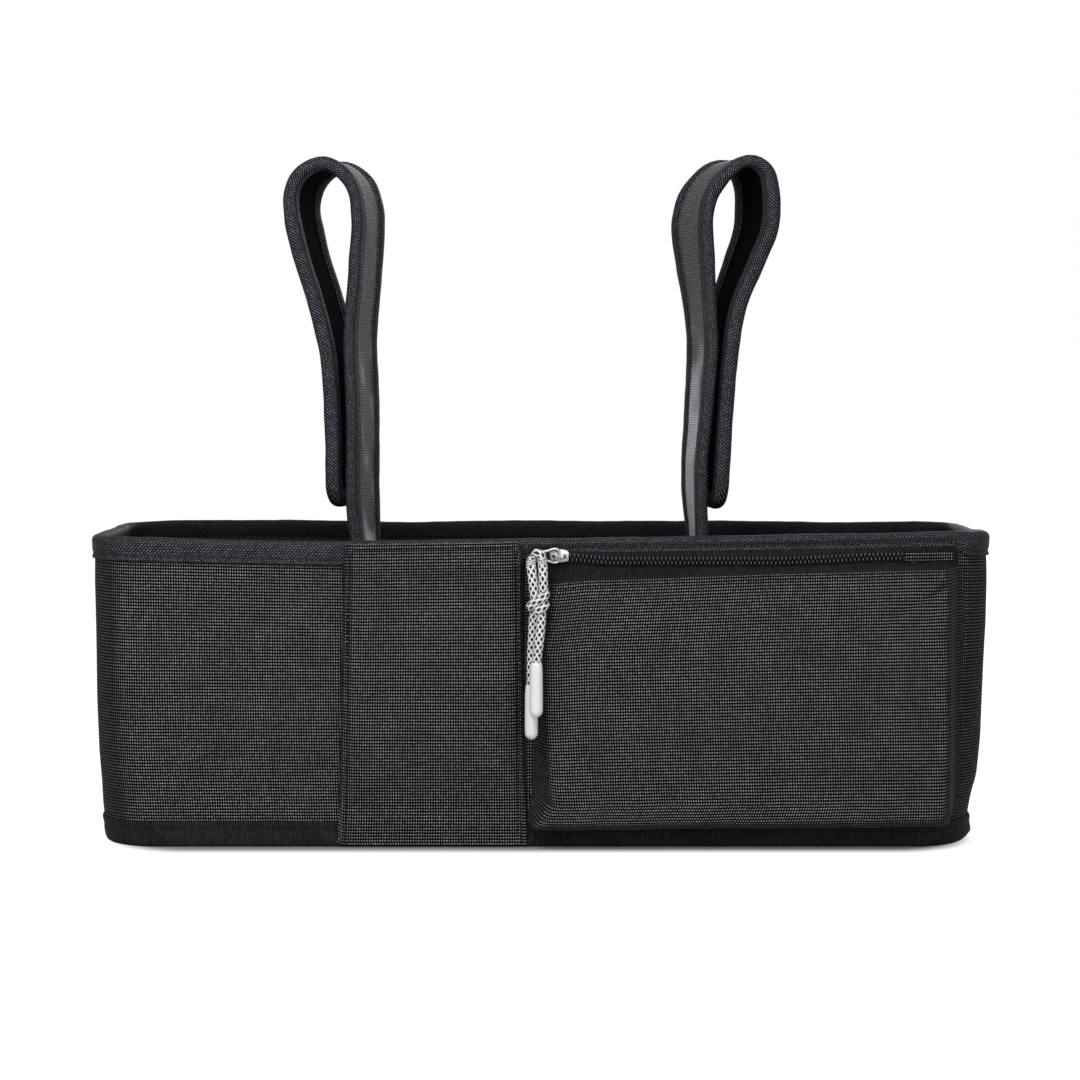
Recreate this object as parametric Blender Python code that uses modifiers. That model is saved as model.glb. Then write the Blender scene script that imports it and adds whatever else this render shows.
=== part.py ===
"""Stroller organizer: a soft oblong basket with a slip pocket and a zipped pouch on its front, two inner
dividers, and two padded straps that loop over a stroller's handlebar and fasten back on themselves.
Metres, +Z up, origin at the centre of the base's underside, the front faces -Y."""

import math

import bmesh
import bpy
from mathutils import Vector

MM = 0.001
CLEARANCE = 0.3 * MM

# Basket
RIM_LENGTH = 403.0 * MM
BASE_LENGTH = 397.0 * MM
RIM_DEPTH = 114.0 * MM
BASE_DEPTH = 108.0 * MM
WALL_HEIGHT = 137.0 * MM
WALL_THICKNESS = 3.0 * MM
CORNER_RADIUS = 24.0 * MM
CORNER_STEPS = 7
WALL_ROWS = 4
BASE_THICKNESS = 3.5 * MM

# Bindings of the basket
RIM_BINDING_THICKNESS = 0.9 * MM
RIM_BINDING_LEG = 7.5 * MM
RIM_BINDING_ARC_STEPS = 6
BASE_BAND_THICKNESS = 0.8 * MM
BASE_BAND_HEIGHT = 12.0 * MM

# Inner dividers
DIVIDER_HEIGHT = 102.0 * MM
DIVIDER_THICKNESS = 2.5 * MM

# Slip pocket
SLIP_LEFT = -89.5 * MM
SLIP_RIGHT = -7.0 * MM
SLIP_FOOT = 1.5 * MM
SLIP_TOP = 139.5 * MM
SLIP_THICKNESS = 1.4 * MM
SLIP_GAP = 7.5 * MM
SLIP_SIDE_CURVE = 13.0 * MM
SLIP_COLUMNS = 18
SLIP_ROWS = 6

# Zipped pouch
POUCH_LEFT = -3.5 * MM
POUCH_RIGHT = 187.0 * MM
POUCH_FOOT = 13.2 * MM
POUCH_HEM_LEFT = 120.5 * MM
POUCH_HEM_RIGHT = 124.5 * MM
POUCH_DEPTH = 15.5 * MM
POUCH_THICKNESS = 1.2 * MM
POUCH_LEFT_CURVE = 10.0 * MM
POUCH_RIGHT_CURVE = 5.5 * MM
POUCH_FOOT_CURVE = 8.0 * MM
POUCH_FLANGE = 2.5 * MM
POUCH_COLUMNS = 28
POUCH_ROWS = 10

# Zip
ZIP_LEVEL = 130.8 * MM
ZIP_START = 1.5 * MM
ZIP_END = 164.0 * MM
ZIP_PLANE = 60.7 * MM
ROW_HEIGHT = 1.9 * MM
ROW_THICKNESS = 2.4 * MM
ROW_GAP = 1.0 * MM
TOOTH_PITCH = 2.5 * MM
TOOTH_DEPTH = 0.7 * MM
TAPE_THICKNESS = 0.8 * MM
UPPER_TAPE_TOP = 136.6 * MM
TAPE_EASE = 5.0 * MM
TAPE_DROP_SHARE = 0.75
TAPE_LEVEL_SHARE = 0.6
STOP_LENGTH = 2.2 * MM
END_PATCH_LENGTH = 22.0 * MM
END_PATCH_HEIGHT = 5.0 * MM
END_PATCH_THICKNESS = 0.9 * MM

# Slider and its pull ring
SLIDER_AT = 8.5 * MM
SLIDER_LENGTH = 9.0 * MM
SLIDER_HEIGHT = 6.6 * MM
SLIDER_TAIL_HEIGHT = 5.2 * MM
SLIDER_PLATE = 1.2 * MM
SLIDER_ROUNDING = 0.8 * MM
SLIDER_SHOULDER = 0.5 * MM
SLIDER_BACK_PLATE = 0.7 * MM
SLIDER_POST = 0.5 * MM
SLIDER_POST_LENGTH = 4.0 * MM
SLIDER_CLEARANCE = 0.25 * MM
SLIDER_FLANGE = 0.65 * MM
BAIL_LENGTH = 6.4 * MM
BAIL_WIDTH = 1.8 * MM
BAIL_WALL = 0.8 * MM
BAIL_ROUNDING = 1.2 * MM
RING_WIRE = 1.3 * MM
RING_LENGTH = 12.0 * MM
RING_HEIGHT = 5.4 * MM
RING_TIP_HEIGHT = 3.4 * MM
RING_BAR_CORNER = 1.2 * MM
RING_TIP_CORNER = 1.6 * MM
RING_CORNER_STEPS = 5

# Pull cord
CORD_DIAMETER = 4.0 * MM
CORD_TIP_DIAMETER = 5.8 * MM
CORD_TIP_LENGTH = 23.5 * MM
CORD_TIP_MOUTH = 4.6 * MM
CORD_TIP_SHOULDER = 2.8 * MM
CORD_POINT_SPACING = 5.0 * MM
KNOT_WIDTH = 10.0 * MM
KNOT_HEIGHT = 9.0 * MM
KNOT_DEPTH = 7.0 * MM
KNOT_LOBES = 3
KNOT_LOBE_SHARE = 0.07
KNOT_TWIST = math.radians(185)
KNOT_AT = (-0.9 * MM, -78.6 * MM, 112.0 * MM)
CORD_LEFT_ROUTE = ((-3.6, -67.2, 132.2), (-3.8, -67.3, 130.4), (-4.0, -69.2, 128.7), (-3.9, -72.2, 127.9),
                   (-3.7, -75.7, 127.0), (-3.3, -77.8, 124.0), (-2.8, -78.5, 120.0), (-2.6, -78.6, 117.0))
CORD_RIGHT_ROUTE = ((0.7, -67.2, 132.2), (0.9, -67.3, 130.4), (1.1, -69.2, 128.7), (1.2, -72.2, 127.9),
                    (1.3, -75.7, 127.0), (1.4, -77.8, 124.0), (1.5, -78.5, 120.0), (1.6, -78.6, 117.0))
TAIL_FRONT_ROUTE = ((0.6, -79.8, 107.0), (0.3, -80.8, 102.0), (-0.6, -81.8, 94.0), (-1.6, -82.2, 86.2))
TAIL_BACK_ROUTE = ((-2.6, -77.4, 107.0), (-3.0, -76.6, 102.0), (-3.6, -76.3, 90.0), (-3.8, -76.2, 75.6))

# Straps: centre lines in the X-Z plane, from the sewn foot, over the loop, to the free end
STRAP_WIDTH = 38.0 * MM
STRAP_THICKNESS = 3.0 * MM
STRAP_FOOT = 60.0 * MM
STRAP_SEAT = 77.5 * MM
STRAP_CORNER = 8.0 * MM
STRAP_CORNER_STEPS = 3
STRAP_LOOP_FROM = 246.0 * MM
STRAP_STEPS = (14, 26, 8)
STRAP_BINDING_THICKNESS = 0.8 * MM
STRAP_BINDING_LEG = 5.5 * MM
STRAP_BINDING_EASE = 0.5 * MM
STRAP_BINDING_ARC_STEPS = 4
PATCH_WIDTH = 20.5 * MM
PATCH_THICKNESS = 1.5 * MM
PATCH_LOW = 163.0 * MM
PATCH_HIGH = 208.0 * MM
LEFT_LINE = ((-82.0, 141.0), (-82.5, 188.0), (-83.4, 229.0), (-81.0, 260.0), (-79.4, 284.0), (-83.2, 300.0),
             (-94.6, 308.2), (-106.0, 302.5), (-109.8, 290.2), (-105.8, 269.8), (-97.8, 243.9), (-91.5, 216.6),
             (-89.8, 181.8), (-89.4, 160.5), (-88.6, 153.0))
RIGHT_LINE = ((73.2, 138.0), (72.3, 170.0), (74.1, 202.0), (75.4, 228.0), (72.2, 260.0), (71.0, 284.0),
              (76.8, 300.0), (90.0, 309.0), (99.2, 300.0), (99.2, 280.0), (94.4, 264.0), (86.8, 244.0),
              (83.6, 226.0), (82.0, 209.0), (80.6, 185.0), (79.9, 160.0), (79.3, 152.0))
# Turn of a strap about the vertical: (height, degrees) stations
LEFT_TURN = ((104.0, 0.0), (150.0, 14.5))
RIGHT_TURN = ((104.0, 0.0), (165.0, -12.0), (230.0, -14.0), (280.0, -21.0))

FINISHES = {
    "dotted_fabric": ((0.036, 0.036, 0.041), 0.85, 0.0),
    "lining": ((0.012, 0.012, 0.014), 0.9, 0.0),
    "twill_binding": ((0.020, 0.020, 0.026), 0.75, 0.0),
    "ribbed_tape": ((0.012, 0.013, 0.014), 0.8, 0.0),
    "strap_face": ((0.070, 0.070, 0.078), 0.6, 0.0),
    "hook_and_loop": ((0.006, 0.006, 0.007), 0.95, 0.0),
    "slider_metal": ((0.55, 0.55, 0.57), 0.3, 1.0),
    "braided_cord": ((0.55, 0.55, 0.53), 0.8, 0.0),
    "cord_tip": ((0.88, 0.87, 0.84), 0.5, 0.0),
}


def finish(name):
    """The material of this name, made once."""
    if name in bpy.data.materials:
        return bpy.data.materials[name]
    colour, roughness, metallic = FINISHES[name]
    material = bpy.data.materials.new(name)
    material.use_nodes = True
    shader = material.node_tree.nodes["Principled BSDF"]
    shader.inputs["Base Color"].default_value = (*colour, 1.0)
    shader.inputs["Roughness"].default_value = roughness
    shader.inputs["Metallic"].default_value = metallic
    material.diffuse_color = (*colour, 1.0)
    return material


def new_collection(name):
    collection = bpy.data.collections.new(name)
    bpy.context.scene.collection.children.link(collection)
    return collection


for old in list(bpy.data.objects):
    bpy.data.objects.remove(old)
PARTS = new_collection("stroller_organizer")
CUTTERS = new_collection("cutters")


def add_mesh(name, mesh, finish_name, collection=None):
    """An object from a bmesh, with its normals out."""
    bmesh.ops.recalc_face_normals(mesh, faces=mesh.faces)
    data = bpy.data.meshes.new(name)
    mesh.to_mesh(data)
    mesh.free()
    data.shade_smooth()
    obj = bpy.data.objects.new(name, data)
    data.materials.append(finish(finish_name))
    (collection or PARTS).objects.link(obj)
    return obj


def sheet(name, finish_name, place, columns, rows, thickness, closed=False):
    """A sewn sheet: a grid laid by place(column, row), thickened evenly to both sides."""
    mesh = bmesh.new()
    bmesh.ops.create_grid(mesh, x_segments=columns, y_segments=rows, size=0.5)
    for vertex in mesh.verts:
        column, row = round((vertex.co.x + 0.5) * columns), round((vertex.co.y + 0.5) * rows)
        vertex.co = place(column, row)
    if closed:
        bmesh.ops.remove_doubles(mesh, verts=mesh.verts, dist=1e-7)
    obj = add_mesh(name, mesh, finish_name)
    solidify = obj.modifiers.new("Cloth thickness", "SOLIDIFY")
    solidify.thickness = thickness
    solidify.offset = 0.0
    solidify.use_even_offset = True
    return obj


def flat_plate(name, finish_name, outline, low, high, collection=None):
    """A plate in the X-Z plane between two Y values, from a filled outline; made a welded mesh."""
    curve = bpy.data.curves.new(name, "CURVE")
    curve.dimensions = "2D"
    curve.fill_mode = "BOTH"
    curve.extrude = (high - low) / 2
    spline = curve.splines.new("POLY")
    spline.points.add(len(outline) - 1)
    for point, (x, z) in zip(spline.points, outline):
        point.co = (x, z, 0, 1)
    spline.use_cyclic_u = True
    guide = bpy.data.objects.new(name + "_outline", curve)
    PARTS.objects.link(guide)
    guide.rotation_euler = (math.pi / 2, 0, 0)
    guide.location = (0, (low + high) / 2, 0)
    bpy.context.view_layer.update()
    flat = bpy.data.meshes.new_from_object(guide.evaluated_get(bpy.context.evaluated_depsgraph_get()))
    mesh = bmesh.new()
    mesh.from_mesh(flat)
    mesh.transform(guide.matrix_world)
    bmesh.ops.remove_doubles(mesh, verts=mesh.verts, dist=1e-6)
    bpy.data.objects.remove(guide)
    bpy.data.meshes.remove(flat)
    obj = add_mesh(name, mesh, finish_name, collection)
    for polygon in obj.data.polygons:
        polygon.use_smooth = False
    return obj


def tube(name, finish_name, points, diameter, sides=2, cyclic=False):
    """A round cord or wire along the points."""
    curve = bpy.data.curves.new(name, "CURVE")
    curve.dimensions = "3D"
    curve.bevel_depth = diameter / 2
    curve.bevel_resolution = sides
    curve.use_fill_caps = True
    spline = curve.splines.new("POLY")
    spline.points.add(len(points) - 1)
    for point, place in zip(spline.points, points):
        point.co = (*place, 1)
    spline.use_cyclic_u = cyclic
    curve.materials.append(finish(finish_name))
    obj = bpy.data.objects.new(name, curve)
    PARTS.objects.link(obj)
    return obj


def join(target, piece):
    """Unites a second solid with the target for good."""
    union = target.modifiers.new("Join " + piece.name, "BOOLEAN")
    union.operation = "UNION"
    union.object = piece
    bpy.context.view_layer.update()
    joined = bpy.data.meshes.new_from_object(target.evaluated_get(bpy.context.evaluated_depsgraph_get()))
    target.modifiers.clear()
    target.data = joined
    bpy.data.objects.remove(piece)


def mix(a, b, share):
    return a + (b - a) * share


def rise(distance, reach):
    """A quarter circle from 0 to 1 over reach, as a sewn edge curves up to its face."""
    share = min(max(distance / reach, 0.0), 1.0)
    return math.sqrt(1 - (1 - share) ** 2)


def ease(distance, reach):
    share = min(max(distance / reach, 0.0), 1.0)
    return share * share * (3 - 2 * share)


def smooth_line(points, count):
    """count + 1 evenly spaced points along a Catmull-Rom curve through the points."""
    places = [Vector(point) for point in points]
    places = [2 * places[0] - places[1], *places, 2 * places[-1] - places[-2]]
    fine = []
    for before, start, end, after in zip(places, places[1:], places[2:], places[3:]):
        for step in range(12):
            t = step / 12
            fine.append(0.5 * (2 * start + (end - before) * t + (2 * before - 5 * start + 4 * end - after) * t ** 2
                               + (3 * start - before - 3 * end + after) * t ** 3))
    fine.append(places[-2])
    lengths = [0.0]
    for start, end in zip(fine, fine[1:]):
        lengths.append(lengths[-1] + (end - start).length)
    line, index = [], 0
    for step in range(count + 1):
        target = lengths[-1] * step / count
        while index < len(fine) - 2 and lengths[index + 1] < target:
            index += 1
        share = (target - lengths[index]) / (lengths[index + 1] - lengths[index])
        line.append(fine[index].lerp(fine[index + 1], min(share, 1.0)))
    return line


# The basket's rounded oblong section

def half_length(z):
    return mix(BASE_LENGTH, RIM_LENGTH, z / WALL_HEIGHT) / 2


def half_depth(z):
    return mix(BASE_DEPTH, RIM_DEPTH, z / WALL_HEIGHT) / 2


def outline_point(index, z, outset):
    """A point of the basket's outline at a height; outset counts out from the wall's outer face."""
    corner, step = divmod(index % (4 * (CORNER_STEPS + 1)), CORNER_STEPS + 1)
    angle = math.radians(90) * (corner + step / CORNER_STEPS)
    side_x = 1 if corner in (0, 3) else -1
    side_y = 1 if corner in (0, 1) else -1
    radius = CORNER_RADIUS + outset
    x = side_x * (half_length(z) - CORNER_RADIUS) + radius * math.cos(angle)
    y = side_y * (half_depth(z) - CORNER_RADIUS) + radius * math.sin(angle)
    return Vector((x, y, z))


OUTLINE_COUNT = 4 * (CORNER_STEPS + 1)


def basket_band(name, finish_name, section, thickness):
    """A band all round the basket: section lists (outset, height) from one edge to the other."""
    def place(column, row):
        outset, z = section[row]
        return outline_point(column, z, outset)
    return sheet(name, finish_name, place, OUTLINE_COUNT, len(section) - 1, thickness, closed=True)


def side_wall():
    levels = [WALL_HEIGHT * row / WALL_ROWS for row in range(WALL_ROWS + 1)]
    section = [(-WALL_THICKNESS / 2, z) for z in levels]
    return basket_band("side_wall", "dotted_fabric", section, WALL_THICKNESS)


def base_panel():
    inset = -(WALL_THICKNESS + CLEARANCE)
    mesh = bmesh.new()
    ring = [mesh.verts.new(outline_point(index, 0.0, inset)) for index in range(OUTLINE_COUNT)]
    face = mesh.faces.new(ring)
    lifted = bmesh.ops.extrude_face_region(mesh, geom=[face])
    raised = [item for item in lifted["geom"] if isinstance(item, bmesh.types.BMVert)]
    bmesh.ops.translate(mesh, verts=raised, vec=(0, 0, BASE_THICKNESS))
    return add_mesh("base_panel", mesh, "lining")


def rim_binding():
    """The twill strip folded over the wall's top edge."""
    reach = CLEARANCE + RIM_BINDING_THICKNESS / 2
    radius = WALL_THICKNESS / 2 + reach
    foot = WALL_HEIGHT - RIM_BINDING_LEG
    section = [(reach, foot)]
    for step in range(RIM_BINDING_ARC_STEPS + 1):
        angle = math.pi * step / RIM_BINDING_ARC_STEPS
        section.append((-WALL_THICKNESS / 2 + radius * math.cos(angle), WALL_HEIGHT + radius * math.sin(angle)))
    section.append((-WALL_THICKNESS - reach, foot))
    return basket_band("rim_binding", "twill_binding", section, RIM_BINDING_THICKNESS)


def base_binding():
    outset = CLEARANCE + BASE_BAND_THICKNESS / 2
    section = [(outset, 0.0), (outset, BASE_BAND_HEIGHT / 2), (outset, BASE_BAND_HEIGHT)]
    return basket_band("base_binding", "ribbed_tape", section, BASE_BAND_THICKNESS)


def divider(name, x):
    """A stiffened panel across the basket, from the base up, cut to the wall's inner slope."""
    mesh = bmesh.new()
    bmesh.ops.create_cube(mesh, size=1.0)
    low = BASE_THICKNESS + CLEARANCE
    for vertex in mesh.verts:
        z = DIVIDER_HEIGHT if vertex.co.z > 0 else low
        reach = half_depth(z) - WALL_THICKNESS - CLEARANCE
        vertex.co = (x + vertex.co.x * DIVIDER_THICKNESS, reach * (1 if vertex.co.y > 0 else -1), z)
    return add_mesh(name, mesh, "lining")


# Slip pocket

BINDING_PROUD = CLEARANCE + RIM_BINDING_THICKNESS
RIM_BINDING_FOOT = WALL_HEIGHT - RIM_BINDING_LEG
SLIP_HEIGHTS = [SLIP_FOOT, BASE_BAND_HEIGHT / 2, BASE_BAND_HEIGHT + CLEARANCE, BASE_BAND_HEIGHT + TAPE_EASE]
SLIP_HEIGHTS += [SLIP_HEIGHTS[-1] + (RIM_BINDING_FOOT - TAPE_EASE - SLIP_HEIGHTS[-1]) * row / SLIP_ROWS
                 for row in range(1, SLIP_ROWS + 1)]
SLIP_HEIGHTS += [RIM_BINDING_FOOT - CLEARANCE, mix(RIM_BINDING_FOOT, WALL_HEIGHT, 0.5), WALL_HEIGHT, SLIP_TOP]


def seat_offset(z):
    """How far out a front panel lies to pass over the rim binding and the base tape."""
    over_rim = ease(z - SLIP_HEIGHTS[-5], SLIP_HEIGHTS[-4] - SLIP_HEIGHTS[-5])
    over_base = 1 - ease(z - SLIP_HEIGHTS[2], SLIP_HEIGHTS[3] - SLIP_HEIGHTS[2])
    return CLEARANCE + BINDING_PROUD * max(over_rim, over_base)


def slip_pocket():
    width, height = SLIP_RIGHT - SLIP_LEFT, SLIP_TOP - SLIP_FOOT

    def place(column, row):
        x = SLIP_LEFT + width * (1 - math.cos(math.pi * column / SLIP_COLUMNS)) / 2
        z = SLIP_HEIGHTS[row]
        swell = rise(x - SLIP_LEFT, SLIP_SIDE_CURVE) * rise(SLIP_RIGHT - x, SLIP_SIDE_CURVE)
        swell *= ease(z - SLIP_FOOT, height / 3)
        wall_at = min(z, WALL_HEIGHT)
        out = seat_offset(wall_at) + SLIP_THICKNESS / 2 + SLIP_GAP * swell
        return Vector((x, -half_depth(wall_at) - out, z))

    return sheet("slip_pocket", "dotted_fabric", place, SLIP_COLUMNS, len(SLIP_HEIGHTS) - 1, SLIP_THICKNESS)


# Zipped pouch

def pouch_x(column):
    width = POUCH_RIGHT - POUCH_LEFT
    return POUCH_LEFT + width * (1 - math.cos(math.pi * column / POUCH_COLUMNS)) / 2


def pouch_hem(x):
    return mix(POUCH_HEM_LEFT, POUCH_HEM_RIGHT, (x - POUCH_LEFT) / (POUCH_RIGHT - POUCH_LEFT))


def pouch_out(x, z):
    """How far the pouch's cloth stands off the wall."""
    across = rise(x - POUCH_LEFT, POUCH_LEFT_CURVE) * rise(POUCH_RIGHT - POUCH_FLANGE - x, POUCH_RIGHT_CURVE)
    return CLEARANCE + POUCH_THICKNESS / 2 + POUCH_DEPTH * across * rise(z - POUCH_FOOT, POUCH_FOOT_CURVE)


def pouch_front():
    def place(column, row):
        x = pouch_x(column)
        share = 1 - math.cos(math.pi / 2 * row / POUCH_ROWS)
        z = mix(POUCH_FOOT, pouch_hem(x), share)
        return Vector((x, -half_depth(z) - pouch_out(x, z), z))

    return sheet("pouch_front", "dotted_fabric", place, POUCH_COLUMNS, POUCH_ROWS, POUCH_THICKNESS)


# Zip tapes, teeth, stops and end patch

TAPE_SEAT = BINDING_PROUD + CLEARANCE + TAPE_THICKNESS / 2


def zip_plane(x):
    """Depth of the tape's plane: off the wall along the teeth, back on the rim binding at both ends."""
    seated = half_depth(ZIP_LEVEL) + TAPE_SEAT
    eased = ease(x - POUCH_LEFT, TAPE_EASE) * ease(POUCH_RIGHT - x, 3 * TAPE_EASE)
    return mix(seated, ZIP_PLANE, eased)


ROW_OUTER = ROW_GAP / 2 + ROW_HEIGHT


def upper_tape():
    low = ZIP_LEVEL + ROW_OUTER + CLEARANCE
    rows = 3

    def place(column, row):
        x, z = pouch_x(column), mix(low, UPPER_TAPE_TOP, row / rows)
        seated = half_depth(z) + TAPE_SEAT
        return Vector((x, -mix(zip_plane(x), seated, ease(row, rows)), z))

    return sheet("zip_tape_upper", "ribbed_tape", place, POUCH_COLUMNS, rows, TAPE_THICKNESS)


def lower_tape():
    """From the lower teeth down, then forward to the pouch's hem: the pouch's soft top."""
    high = ZIP_LEVEL - ROW_OUTER - CLEARANCE
    rows = 6

    def place(column, row):
        x, share = pouch_x(column), row / rows
        hem = pouch_hem(x)
        front = half_depth(hem) + pouch_out(x, hem)
        start = Vector((zip_plane(x), high))
        end = Vector((front, hem + CLEARANCE + TAPE_THICKNESS / 2))
        bend_a = start + Vector((0, TAPE_DROP_SHARE * (end.y - high)))
        bend_b = end + Vector((TAPE_LEVEL_SHARE * (start.x - end.x), 0))
        point = (start * (1 - share) ** 3 + 3 * bend_a * share * (1 - share) ** 2
                 + 3 * bend_b * share ** 2 * (1 - share) + end * share ** 3)
        return Vector((x, -point.x, point.y))

    return sheet("zip_tape_lower", "ribbed_tape", place, POUCH_COLUMNS, rows, TAPE_THICKNESS)


def teeth_row(name, direction):
    """One side of the zip's teeth: a toothed strip whose teeth point at the other row."""
    root = ZIP_LEVEL + direction * ROW_OUTER
    tip = ZIP_LEVEL + direction * ROW_GAP / 2
    valley = tip + direction * TOOTH_DEPTH
    outline = [(ZIP_START, root)]
    teeth = int((ZIP_END - ZIP_START) / TOOTH_PITCH)
    for tooth in range(teeth):
        start = ZIP_START + tooth * TOOTH_PITCH
        outline += [(start, tip), (start + 0.5 * TOOTH_PITCH, tip), (start + 0.6 * TOOTH_PITCH, valley),
                    (start + 0.9 * TOOTH_PITCH, valley)]
    outline.append((ZIP_START + teeth * TOOTH_PITCH, valley))
    outline.append((ZIP_START + teeth * TOOTH_PITCH, root))
    half = ROW_THICKNESS / 2
    return flat_plate(name, "ribbed_tape", outline, -ZIP_PLANE - half, -ZIP_PLANE + half)


def box_outline(left, right, low, high):
    return [(left, low), (right, low), (right, high), (left, high)]


def zip_stop(name, start):
    outline = box_outline(start, start + STOP_LENGTH, ZIP_LEVEL - ROW_OUTER, ZIP_LEVEL + ROW_OUTER)
    half = ROW_THICKNESS / 2
    return flat_plate(name, "slider_metal", outline, -ZIP_PLANE - half, -ZIP_PLANE + half)


def end_patch():
    """The fabric patch that covers the right end of the teeth."""
    left, held = ZIP_END - STOP_LENGTH, ZIP_END + STOP_LENGTH + 2 * CLEARANCE
    stations = [left] + [mix(held, left + END_PATCH_LENGTH, step / 6) for step in range(7)]
    rows = 1
    front = ZIP_PLANE + ROW_THICKNESS / 2 + CLEARANCE + END_PATCH_THICKNESS / 2

    def place(column, row):
        x = stations[column]
        z = ZIP_LEVEL + END_PATCH_HEIGHT * (row / rows - 0.5)
        behind = zip_plane(x) + TAPE_THICKNESS / 2 + CLEARANCE + END_PATCH_THICKNESS / 2
        over_stop = 1 - ease(x - held, 2 * TAPE_EASE)
        return Vector((x, -max(front * over_stop, behind), z))

    return sheet("zip_end_patch", "dotted_fabric", place, len(stations) - 1, rows, END_PATCH_THICKNESS)


# Slider, pull ring

TEETH_FRONT = -ZIP_PLANE - ROW_THICKNESS / 2
PLATE_BACK = TEETH_FRONT - SLIDER_CLEARANCE
PLATE_FRONT = PLATE_BACK - SLIDER_PLATE
RING_AXIS_Y = PLATE_FRONT - SLIDER_CLEARANCE - RING_WIRE / 2


def slider():
    """Front and back plates round the teeth, the post between the rows, side flanges and the bail."""
    nose, tail = SLIDER_AT - SLIDER_LENGTH / 2, SLIDER_AT + SLIDER_LENGTH / 2
    shoulder = SLIDER_AT - SLIDER_SHOULDER
    tall, low = SLIDER_HEIGHT / 2, SLIDER_TAIL_HEIGHT / 2
    cut = SLIDER_ROUNDING
    shape = [(nose, tall - cut), (nose + cut, tall), (shoulder, tall), (tail - cut, low), (tail, low - cut)]
    outline = [(x, ZIP_LEVEL + z) for x, z in shape] + [(x, ZIP_LEVEL - z) for x, z in reversed(shape)]
    body = flat_plate("slider", "slider_metal", outline, PLATE_FRONT, PLATE_BACK)
    back_face = -ZIP_PLANE + ROW_THICKNESS / 2 + SLIDER_CLEARANCE
    join(body, flat_plate("back_plate", "slider_metal", outline, back_face, back_face + SLIDER_BACK_PLATE, CUTTERS))
    post = box_outline(SLIDER_AT - SLIDER_POST_LENGTH / 2, SLIDER_AT + SLIDER_POST_LENGTH / 2,
                       ZIP_LEVEL - SLIDER_POST / 2, ZIP_LEVEL + SLIDER_POST / 2)
    join(body, flat_plate("post", "slider_metal", post, PLATE_BACK - SLIDER_PLATE / 2,
                          back_face + SLIDER_BACK_PLATE / 2, CUTTERS))
    tape_front = -ZIP_PLANE - TAPE_THICKNESS / 2 - SLIDER_CLEARANCE
    inner = ROW_OUTER + SLIDER_CLEARANCE
    for direction in (-1, 1):
        edge_a = ZIP_LEVEL + direction * inner
        edge_b = ZIP_LEVEL + direction * (inner + SLIDER_FLANGE)
        flange = box_outline(nose + cut, shoulder, min(edge_a, edge_b), max(edge_a, edge_b))
        join(body, flat_plate("flange", "slider_metal", flange, PLATE_BACK - SLIDER_PLATE / 2, tape_front, CUTTERS))
    join(body, bail())
    return body


def bail():
    """The arch on the slider's front that holds the ring's hinge bar, seen from above."""
    height = SLIDER_CLEARANCE * 2 + RING_WIRE
    half = BAIL_LENGTH / 2
    top, turn = height + BAIL_WALL, height + BAIL_WALL - BAIL_ROUNDING
    outer = [(-half, 0.0), (-half, turn), (-half + BAIL_ROUNDING, top), (half - BAIL_ROUNDING, top), (half, turn),
             (half, 0.0)]
    inner = [(x * (half - BAIL_WALL) / half, min(y, height)) for x, y in reversed(outer)]
    mesh = bmesh.new()
    ring = []
    for x, y in outer + inner:
        sunk = y if y > 0 else -SLIDER_PLATE / 2
        ring.append(mesh.verts.new((SLIDER_AT + x, PLATE_FRONT - sunk, ZIP_LEVEL - BAIL_WIDTH / 2)))
    face = mesh.faces.new(ring)
    lifted = bmesh.ops.extrude_face_region(mesh, geom=[face])
    raised = [item for item in lifted["geom"] if isinstance(item, bmesh.types.BMVert)]
    bmesh.ops.translate(mesh, verts=raised, vec=(0, 0, BAIL_WIDTH))
    return add_mesh("bail", mesh, "slider_metal", CUTTERS)


def ring_points():
    """The pull ring's wire: a narrow tapered loop with its hinge bar through the bail."""
    def corner(x, z, start, radius):
        steps = range(RING_CORNER_STEPS + 1)
        angles = [math.radians(start + 90 * step / RING_CORNER_STEPS) for step in steps]
        return [(x + radius * math.cos(a), z + radius * math.sin(a)) for a in angles]
    wide, tip = RING_HEIGHT / 2, RING_TIP_HEIGHT / 2
    at_bar, at_tip = RING_BAR_CORNER, RING_TIP_CORNER
    flat = (corner(-at_bar, wide - at_bar, 0, at_bar)
            + corner(-RING_LENGTH + at_tip, tip - at_tip, 90, at_tip)
            + corner(-RING_LENGTH + at_tip, -(tip - at_tip), 180, at_tip)
            + corner(-at_bar, -(wide - at_bar), 270, at_bar))
    return [Vector((SLIDER_AT + x, RING_AXIS_Y, ZIP_LEVEL + z)) for x, z in flat]


def pull_ring():
    return tube("pull_ring", "slider_metal", ring_points(), RING_WIRE, cyclic=True)


# Pull cord

def cord_tube(name, route):
    points = [Vector(point) * MM for point in route]
    length = sum((b - a).length for a, b in zip(points, points[1:]))
    count = max(4, round(length / CORD_POINT_SPACING) + 1)
    return tube(name, "braided_cord", smooth_line(points, count), CORD_DIAMETER)


def cord_knot():
    """The overhand knot's outer shape: a twisted, lobed swell round both strands."""
    mesh = bmesh.new()
    bmesh.ops.create_uvsphere(mesh, u_segments=14, v_segments=8, radius=0.5)
    for vertex in mesh.verts:
        x, y, z = vertex.co
        turn = math.atan2(y, x) + KNOT_TWIST * z
        swell = 1 + KNOT_LOBE_SHARE * math.cos(KNOT_LOBES * turn)
        vertex.co = (KNOT_AT[0] + x * swell * KNOT_WIDTH, KNOT_AT[1] + y * swell * KNOT_DEPTH,
                     KNOT_AT[2] + z * KNOT_HEIGHT)
    return add_mesh("cord_knot", mesh, "braided_cord")


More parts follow.
